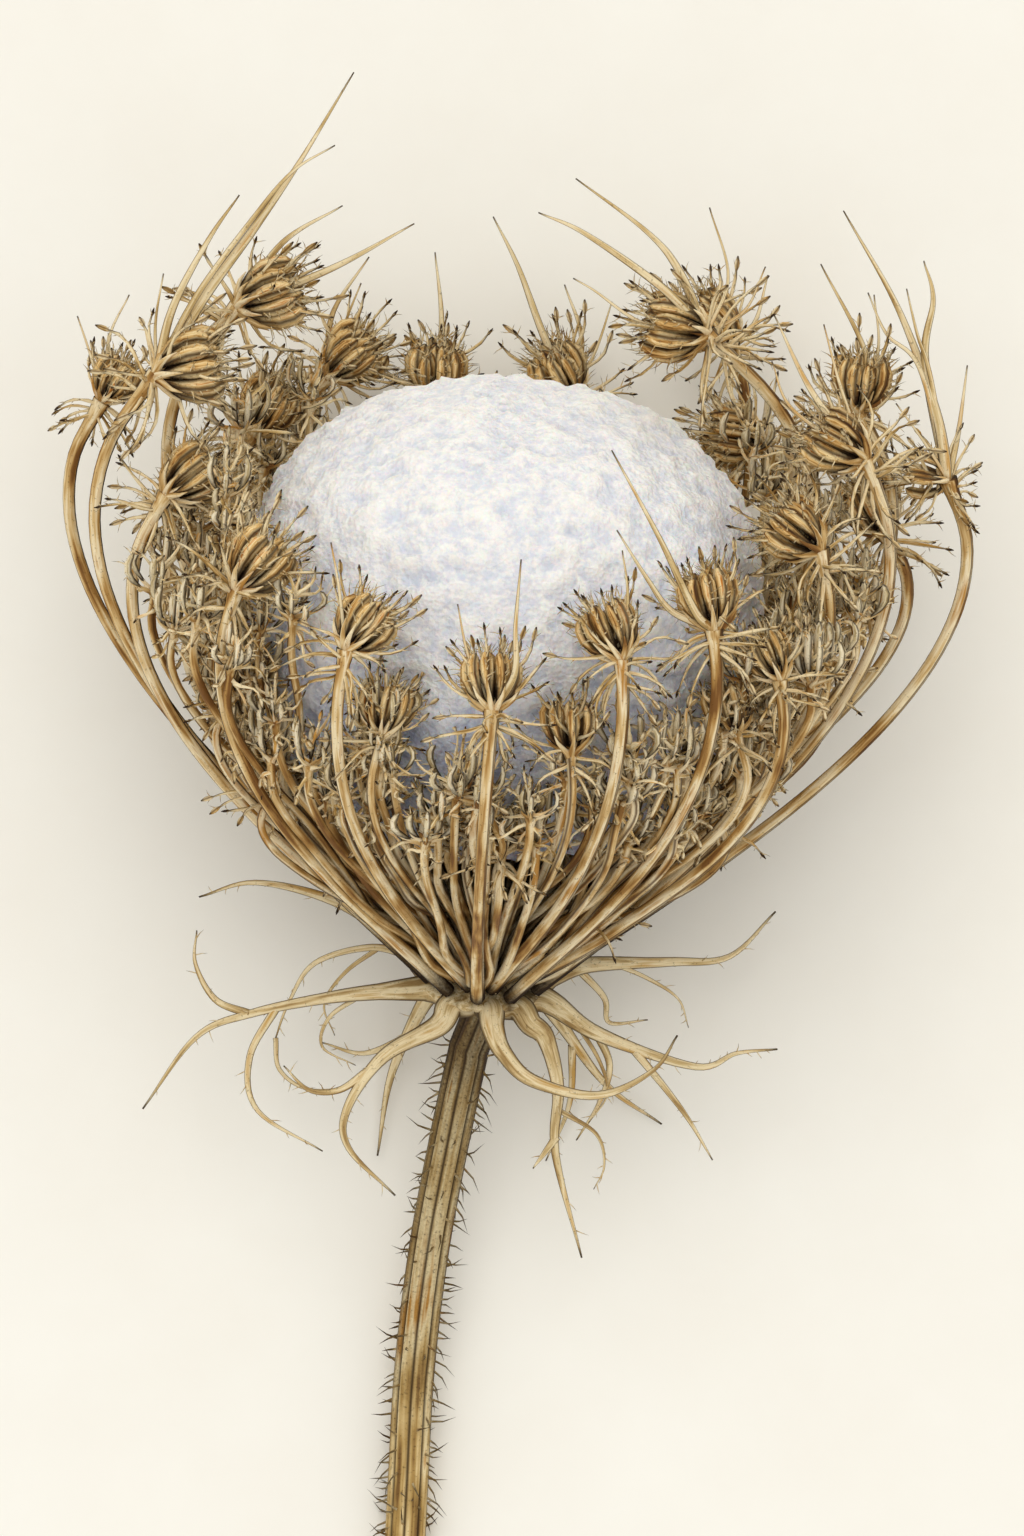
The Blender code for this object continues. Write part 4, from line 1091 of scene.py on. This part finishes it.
# %% Finer blades beside the long ones, which the solids leave out
FINE_BLADE_SLIM = 0.6
FINE_BLADES = (
    (18, ((-21.6, 51.4, 23.2), (-17.4, 57.2, 23.0), (-14.4, 60.8, 22.4), (-11.2, 62.8, 21.6))),
    (18, ((-24.6, 49.5, 22.6), (-24.0, 53.2, 22.8))),
    (17, ((-28.2, 48.6, 12.6), (-26.7, 51.8, 12.8))),
    (17, ((-29.6, 47.2, 12.4), (-30.6, 50.2, 12.6))),
    (14, ((-10.6, 50.0, -4.4), (-9.4, 53.0, -4.2))),
    (8, ((18.2, 53.0, 19.2), (16.8, 58.2, 19.6))),
    (8, ((19.5, 50.6, 18.0), (21.0, 53.8, 18.4))),
    (5, ((26.6, 44.6, 23.0), (25.3, 49.4, 23.0))),
    (6, ((33.4, 45.6, 15.2), (32.4, 48.8, 15.4), (31.6, 52.2, 15.6))),
    (6, ((32.6, 46.2, 15.4), (30.1, 48.8, 15.6), (28.7, 51.9, 15.8))),
    (6, ((33.0, 40.6, 15.4), (30.8, 43.6, 16.0))),
    (6, ((32.4, 38.6, 15.2), (29.6, 39.6, 15.6))),
    (8, ((12.4, 49.4, 19.5), (10.6, 50.2, 20.0), (8.3, 51.9, 20.0), (6.6, 52.9, 20.0))),
    (5, ((23.0, 43.0, 24.4), (21.4, 46.6, 25.0))),
    (7, ((29.5, 47.6, 13.0), (29.2, 51.8, 13.0))),
    (0, ((-1.2, 24.6, 39.0), (-2.0, 28.4, 39.6))),
    (1, ((10.6, 29.0, 37.0), (10.2, 32.4, 37.2))),
    (21, ((-10.8, 29.6, 36.4), (-11.4, 33.0, 36.6))),
    (12, ((8.4, 48.0, -5.0), (9.6, 51.6, -4.6))),
)
print(len(LONG_BRACTEOLES), "long blades and", len(FINE_BLADES), "finer ones")

# %% Make the outer rays
# Painted shade at the roots of the outer rays: its share of a ray in front and behind, and its depth
RAY_SIDES, RAY_DARK_SHARES, RAY_DARKEST = 16, (0.05, 0.26), 0.9
ray_finishes = (ray_paint, fruit_paint, spine_paint, blade_paint)
for number, (name, radius, line) in enumerate(rays[: len(OUTER_UMBELLETS)]):
    piece, seed = Piece(), 1.0 + number * 2.3
    hub, stem = line[-1], end_way(line)
    way = facing(hub, OUTER_UMBELLETS[number][2])
    add_ray(piece, line, radius, seed, RAY_SIDES, shaded_share(line, *RAY_DARK_SHARES), RAY_DARKEST)
    fruits = BARE_FRUITS if number == BARE_RAY else OUTER_FRUITS
    add_head(piece, hub, stem, way, HEAD_SIZES[number], fruits, OUTER_STRANDS, OUTER_SPINES, seed)
    for owner, points in LONG_BRACTEOLES:
        if owner == number:
            add_blade(piece, hub, points, seed + points[0][0])
    for owner, points in FINE_BLADES:
        if owner == number:
            add_blade(piece, hub, points, seed + points[0][1], FINE_BLADE_SLIM)
    piece.made(f"outer_{name}", ray_finishes, "dry_ray", name)
print(len(OUTER_UMBELLETS), "outer rays made")

# %% Inner rays
INNER_FRUITS, INNER_STRANDS, INNER_SPINES, INNER_SIZE = (8, 4, 1), 22, 6, 0.85
# Sides of an inner ray, and the share and depth of the painted shade from its root
INNER_SIDES, INNER_DARK_SHARE, INNER_DARKEST = 8, 0.45, 0.5
for number, (name, radius, line) in enumerate(rays[len(OUTER_UMBELLETS) :]):
    piece, seed = Piece(), 70.0 + number * 1.9
    stem = end_way(line)
    add_ray(piece, line, radius, seed, INNER_SIDES, INNER_DARK_SHARE, INNER_DARKEST)
    add_head(piece, line[-1], stem, stem, INNER_SIZE, INNER_FRUITS, INNER_STRANDS, INNER_SPINES, seed)
    piece.made(f"fine_{name}", ray_finishes, "dry_ray", name)
print(len(rays) - len(OUTER_UMBELLETS), "inner rays made")

# %% [markdown]
# ## The tangle between the rays and the snow
#
# Behind the outer rays the cup is packed with smaller heads, densely at its sides and thinly in front of
# the snow. The solids hold the larger ones. The small ones are made here: thin rays from the same node,
# bent clear of each other, each with a small ragged head just outside the snow. They are placed in tiers
# by a rule with a seeded draw, because on the plant too they fill whatever room is left.

# %% Small rays of the tangle
# How many, distance from the axis, height, and the degrees that they leave clear at the top and below
TANGLE = (
    (30, 20.6, 22.4, 0.0, 0.0),
    (32, 22.4, 25.6, 0.0, 0.0),
    (30, 22.8, 29.0, 16.0, 0.0),
    (20, 23.4, 34.5, 44.0, 0.0),
    (10, 22.4, 39.5, 62.0, 42.0),
    (24, 17.6, 20.6, 0.0, 0.0),
    (20, 26.6, 33.0, 52.0, 20.0),
)
CROWDING = 1.2  # above 1, the heads stand closer together towards the top of the cup
TANGLE_RADIUS, TANGLE_SIZE, TANGLE_RAGGED = 0.4, 0.78, 0.9
TANGLE_FRUITS, TANGLE_STRANDS, TANGLE_SPINES = (5, 2, 0), 16, 4
# The painted shade at the roots of the tangle's rays goes no deeper than this
TANGLE_DARKEST, TANGLE_TURN = 0.22, 0.3  # how dark its rays are, and how far its heads turn to the mouth


def tangle_rays():
    """Tier, radius and line of each small ray."""
    rng = random.Random(SEED + 1)
    found = []
    for tier, (count, reach, height, clear, under) in enumerate(TANGLE):
        for i in range(count):
            share = ((i // 2 + 0.5) / (count / 2)) ** CROWDING
            turn = clear + (180 - clear - under) * share + rng.uniform(-6, 6)
            turn = turn if i % 2 else -turn
            out = round_axis(turn)
            hub = out * (reach + rng.uniform(-0.8, 0.8)) + AXIS * (height + rng.uniform(-2.0, 2.0))
            hub += out * max(0, 1.0 - snow_distance(hub))
            hub.z = max(hub.z, 2.5 - NODE_HEIGHT)
            heights = (0.46 * hub.dot(AXIS), 0.8 * hub.dot(AXIS))
            line = ray_line(hub, turn, rng.uniform(0.8, 3.6), -2.0, 0.56, heights, INNER_RAY_STEPS)
            found.append((tier, TANGLE_RADIUS, pressed(line, TANGLE_RADIUS)))
    return found


# %% Bend them clear of each other, and make them
TANGLE_ROUNDS = 10
# Settling needs a fixed rod, and none is near the tangle
far_rod = [(Vector((0, 0, 900)), Vector((0, 1, 900)), 0.1)]
tangle = settle(tangle_rays(), far_rod, TANGLE_ROUNDS)
tangle_finishes = (ray_paint, faded_paint, wisp_paint)
for tier in range(len(TANGLE)):
    piece = Piece()
    for number, (owner, radius, line) in enumerate(tangle):
        if owner == tier:
            seed, stem = 140.0 + number * 1.3, end_way(line)
            way = (stem + AXIS * TANGLE_TURN).normalized()
            add_ray(piece, line, radius, seed, INNER_SIDES, INNER_DARK_SHARE, TANGLE_DARKEST)
            size = TANGLE_SIZE * (0.8 + 0.35 * (number * 0.618 % 1))
            counts = TANGLE_FRUITS, TANGLE_STRANDS, TANGLE_SPINES
            add_head(piece, line[-1], stem, way, size, *counts, seed, 6, 3, TANGLE_RAGGED)
    piece.made(f"tangle_{tier + 1}", tangle_finishes, "dry_ray")
print(len(tangle), "small rays in the tangle")

# %% [markdown]
# ## The bracts
#
# Under the node hang thin forked bracts, paler than the rays, that curl at their tips. Each trunk starts
# wide, where it clasps the node, and thins to a thread. Small hairs stand along them.


# %% Forked bracts
TRUNK_PLACES, TRUNK_RADII = (0, 2.6, 6.0, 10.5), (1.3, 1.15, 0.74, 0.5, 0.08)  # the last radius is at the tip
BRANCH_RADII, CURL_SLIM = (0.38, 0.25, 0.06), 0.62
HAIR_RADIUS, HAIR_AGES = 0.06, (0.1, 0.3, 0.8)


def bract_branch(piece, branch, order, seed):
    """One branch of a bract with its hairs. A trunk starts inside the node, which it clasps."""
    line = [Vector(p) for p in branch]
    if order == 0:
        height = line[0].dot(AXIS)
        out = (line[0] - AXIS * height).normalized()
        line = [AXIS * -0.9 + out * 2.2, AXIS * (0.15 * height - 0.3) + out * 4.2, *line]
    line = pressed(smooth_line(line, 8), 0.3)
    run = np.concatenate([[0], np.cumsum([(b - a).length for a, b in zip(line, line[1:])])])
    share = run / run[-1]
    if order == 0:
        radii = np.interp(run, (*TRUNK_PLACES, run[-1]), TRUNK_RADII)
    else:
        radii = np.interp(share, (0, 0.5, 1), BRANCH_RADII) * (1.0 if order < 3 else CURL_SLIM)
    sweep(piece, line, radii, 12, EDGED_RIBS, age=0.9 * share**12, seed=seed, flat=0.75, edge_shade=0.9)
    rng = random.Random(int(seed * 17))
    starts, ways, lengths = [], [], []
    for i in range(len(line) // 3 + 2, len(line) - 2, 2):
        along = (line[i + 1] - line[i]).normalized()
        out = round_way(along, rng.uniform(0, 2 * math.pi))
        starts.append(line[i] + out * radii[i] * 0.5)
        ways.append(out + along * rng.uniform(0.3, 1.2))
        lengths.append(rng.uniform(0.4, 1.1))
    spines(piece, starts, ways, lengths, HAIR_RADIUS, 0.3, HAIR_AGES, int(seed))


# %% Thin curls that the solids leave out, by the bract that each grows from
FINE_CURLS = (
    (0, ((-15.9, -4.2, -6.9), (-15.6, -6.6, -7.3), (-13.4, -8.1, -7.5), (-9.8, -7.9, -7.2))),
    (0, ((-8.0, 2.7, -2.4), (-10.6, 0.8, -3.6), (-12.2, -1.6, -4.6), (-11.4, -4.0, -5.0))),
    (1, ((-9.4, -0.9, 1.5), (-11.8, -2.6, 0.8), (-12.3, -4.8, 0.0), (-9.8, -6.2, -0.8))),
    (6, ((9.6, 1.5, -2.4), (12.2, 0.4, -3.0), (14.6, -1.2, -3.8), (15.4, -3.4, -4.4))),
    (5, ((6.6, -2.6, 0.8), (8.6, -5.8, -0.2), (9.2, -8.4, -1.0), (7.8, -10.6, -1.6))),
    (4, ((5.6, -9.6, 0.2), (8.4, -11.4, -0.6), (9.0, -13.8, -1.4), (8.2, -15.6, -2.0))),
)
print(len(FINE_CURLS), "thin curls")

# %% Make the bracts
for number, bract in enumerate(BRACTS):
    piece = Piece()
    for order, branch in enumerate(bract):
        bract_branch(piece, branch, order, 200.0 + number * 5 + order)
    for order, (owner, branch) in enumerate(FINE_CURLS):
        if owner == number:
            bract_branch(piece, branch, order + 3, 260.0 + order)
    piece.made(f"forked_bract_{number + 1}", (bract_paint,), "dry_bract", f"bract_{number + 1}")
print(len(BRACTS), "bracts made")

# %% [markdown]
# ## The stalk
#
# The stalk is the thickest stem, with deep grooves between its ribs and stiff bristles all along it. It
# flares into the node that carries everything, and it is plainly cut at its far end.

# %% Ribbed stalk and its collar
STALK_SIDES, COLLAR_WAVES = 6 * STALK_RIBS, 11
STALK_PROFILE = (1.02, 1.05, 1.06, 1.05, 1.02, 0.9)
COLLAR_PROFILE = [
    0.97 + 0.06 * math.cos(2 * math.pi * COLLAR_WAVES * k / STALK_SIDES) * math.cos(k * 1.3)
    for k in range(STALK_SIDES)
]

stalk = Piece()
shaft = smooth_line(STALK_LINE, 14)
flare_steps = np.linspace(0, 1, 14)
flare_places = np.interp(flare_steps, np.linspace(0, 1, len(NODE_FLARE)), [h for h, _ in NODE_FLARE])
flare_radii = np.interp(flare_steps, np.linspace(0, 1, len(NODE_FLARE)), [r for _, r in NODE_FLARE])
crown_radii = np.array([4.4, 3.3, 2.4, 1.6, 0.8, 0.05])
stalk_line = shaft + [AXIS * h for h in flare_places] + [AXIS * dome_height(r) for r in crown_radii]
stalk_radii = np.concatenate([np.full(len(shaft), STALK_RADIUS), flare_radii, crown_radii])
down = np.linspace(1, 0, len(shaft))
# Painted shade: the stalk darkens towards the node, under the bracts
stalk_shade = np.interp(down, (0.0, 0.1, 0.25, 0.6, 0.85, 1.0), (0.72, 0.58, 0.5, 0.42, 0.1, 0.05))
neck_end = len(shaft) + 7
neck = slice(0, neck_end)
neck_shade = np.concatenate([stalk_shade, np.full(neck_end - len(shaft), stalk_shade[-1])])
neck_form = stalk_line[neck], stalk_radii[neck], STALK_SIDES, STALK_PROFILE
sweep(stalk, *neck_form, age=neck_shade, seed=3.0, edge_shade=0.5)
collar = slice(neck_end - 3, None)
collar_steps = np.arange(len(stalk_line) - neck_end + 3)
# Painted shade on the collar: dark low down under the bracts, pale at its rim, and dark on the crown under
# the crowded rays
collar_shade = np.interp(collar_steps, (0, 3, 6, 11, 13, 16), (0.9, 0.7, 0.1, 0.0, 0.5, 0.6))
collar_form = stalk_line[collar], stalk_radii[collar], STALK_SIDES, COLLAR_PROFILE
sweep(stalk, *collar_form, age=collar_shade, seed=4.0, finish=1, edge_shade=0.3)
print("stalk drawn through", len(stalk_line), "rings")

# %% Bristles
BRISTLES = 330  # before most of those that point straight up or down are left out
BRISTLE_RADIUS, BRISTLE_BEND, BRISTLE_AGES = 0.125, 0.7, (0.5, 0.75, 0.95)
STEEP, STEEP_LEFT_OUT = 0.6, 0.7

rng = random.Random(SEED + 2)
starts, ways, lengths = [], [], []
for i in range(BRISTLES):
    place = (len(shaft) - 1.01) * (i + rng.random()) / BRISTLES
    low = int(place)
    centre = shaft[low].lerp(shaft[low + 1], place - low)
    along = (shaft[low + 1] - shaft[low]).normalized()
    out = round_way(along, i * GOLDEN_TURN + rng.uniform(-0.4, 0.4))
    if abs(out.z) > STEEP and rng.random() < STEEP_LEFT_OUT:
        continue
    starts.append(centre + out * STALK_RADIUS * 0.9)
    ways.append(out - along * rng.uniform(-0.3, 0.8))
    lengths.append(rng.uniform(0.9, 2.1))
spines(stalk, starts, ways, lengths, BRISTLE_RADIUS, BRISTLE_BEND, BRISTLE_AGES, 9)
stalk.made("ribbed_stalk", (stalk_paint, bract_paint), "dry_stalk", "stalk")
print("stalk with", len(starts), "bristles")

# %% [markdown]
# ## The snow
#
# Fallen snow is a heap of small clumps. A finely divided ball takes the solid's own round shape, then
# every point moves in or out by noise of three sizes: soft swells, clumps and single grains. The grains
# continue in the finish as bump. Snow is white where light reaches it and blue-grey in its hollows, so
# the painted shade follows the clumps, and more painted shade darkens it away from the open mouth of the
# cup, the side that the lamp lights.

# %% Lumpy snow
SNOW_CLUMP, SNOW_GRAIN = 0.672, 0.576  # millimetres that they stand out
SWELLS, BIG_CLUMPS, SMALL_CLUMPS, GRAINS = 3.1, 13.0, 27.0, 55.0  # how close together the noise puts them
ball = bmesh.new()
bmesh.ops.create_icosphere(ball, subdivisions=6, radius=1.0)
turn = Matrix((SIDE, TOP, AXIS)).transposed()
snow_points, clumps = [], []
for vertex in ball.verts:
    way = vertex.co
    out = math.hypot(way.x, way.y)
    full = (out**SNOW_SHOULDER + abs(way.z) ** SNOW_SHOULDER) ** (-1 / SNOW_SHOULDER)
    local = way * full * (1 - SNOW_LUMPS * (1 + noise.noise(way * SWELLS)))
    scaled = Vector((local.x * SNOW_RADIUS, local.y * SNOW_RADIUS, local.z * SNOW_HALF_HEIGHT))
    clump = noise.noise(way * BIG_CLUMPS) * 0.6 + noise.noise(way * SMALL_CLUMPS) * 0.4
    grain = noise.noise(way * GRAINS)
    scaled += way * (SNOW_CLUMP * clump + SNOW_GRAIN * grain)
    snow_points.append(tuple(turn @ scaled + AXIS * SNOW_CENTRE + SIDE * SNOW_SHIFT))
    clumps.append(0.5 + 0.6 * clump + 0.3 * grain)
snow_faces = np.array([[v.index for v in f.verts] for f in ball.faces])
mouthward = np.array([vertex.co.z for vertex in ball.verts])
ball.free()

# %% Snow's finish
# Painted shade and painted light on the snow: shaded blue-grey tones and lit white tones, each in a darker
# and a lighter speckle
SHADED_SNOW_TONES, LIT_SNOW_TONES = ("#AAB1CA", "#D9DDE8"), ("#E0E2EA", "#FBF8F2")

snow_paint = Paint("fallen_snow", Subsurface_Weight=0.25, Subsurface_Scale=0.002, Specular_IOR_Level=0.3)
grain = snow_paint.fact("grain", 1)
soft = snow_paint.noise(grain, 0.16, 3.0, 0.55)
fine = snow_paint.noise(grain, 1.7, 4.0, 0.65)
crumb = snow_paint.grains(grain, 2.6)
# Painted light towards the cup's mouth, where the lamp stands, and painted shade away from it, in soft
# patches
high = snow_paint.step(snow_paint.fact("age") + (soft - 0.5) * 0.9, 0.1, 0.85)
# Painted shade in the hollows between clumps, mixed with fine speckles
speckle_and_hollow_shade = snow_paint.step(fine * 0.6 + snow_paint.fact("groove") * 0.4, 0.36, 0.62)
shaded_snow_tone = snow_paint.mix(speckle_and_hollow_shade, *map(colour, SHADED_SNOW_TONES))
lit_snow_tone = snow_paint.mix(speckle_and_hollow_shade, *map(colour, LIT_SNOW_TONES))
snow_paint.feed("Base Color", snow_paint.mix(high, shaded_snow_tone, lit_snow_tone))
snow_paint.feed("Roughness", 0.72 + fine * 0.2)
snow_paint.bump(fine * 0.7 + (1 - crumb) * 0.5, 0.7, 0.0004)

snow = Piece()
# Painted shade: the snow is darker away from the cup's mouth, the side that the lamp lights
snow.add(snow_points, [snow_faces], np.array(snow_points), 0.5 + 0.5 * mouthward, np.array(clumps))
snow.made("fallen_snow", (snow_paint,), "snow", "snow")
print("snow with", len(snow_faces), "triangles")

# %% [markdown]
# ## Measure and finish
#
# The fine pieces must stay where their solids are.

# %% Sizes
fine_box = [list(corner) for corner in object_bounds()]
for label, box in (("solids", cad_box), ("fine", fine_box)):
    print(label, [[round(v / MM, 1) for v in corner] for corner in box])
shown = [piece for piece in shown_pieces() if piece.type == "MESH"]
triangles = [len(piece.data.loops) - 2 * len(piece.data.polygons) for piece in shown]
print(len(shown), "pieces,", sum(triangles), "triangles, and at most", max(triangles), "in one piece")
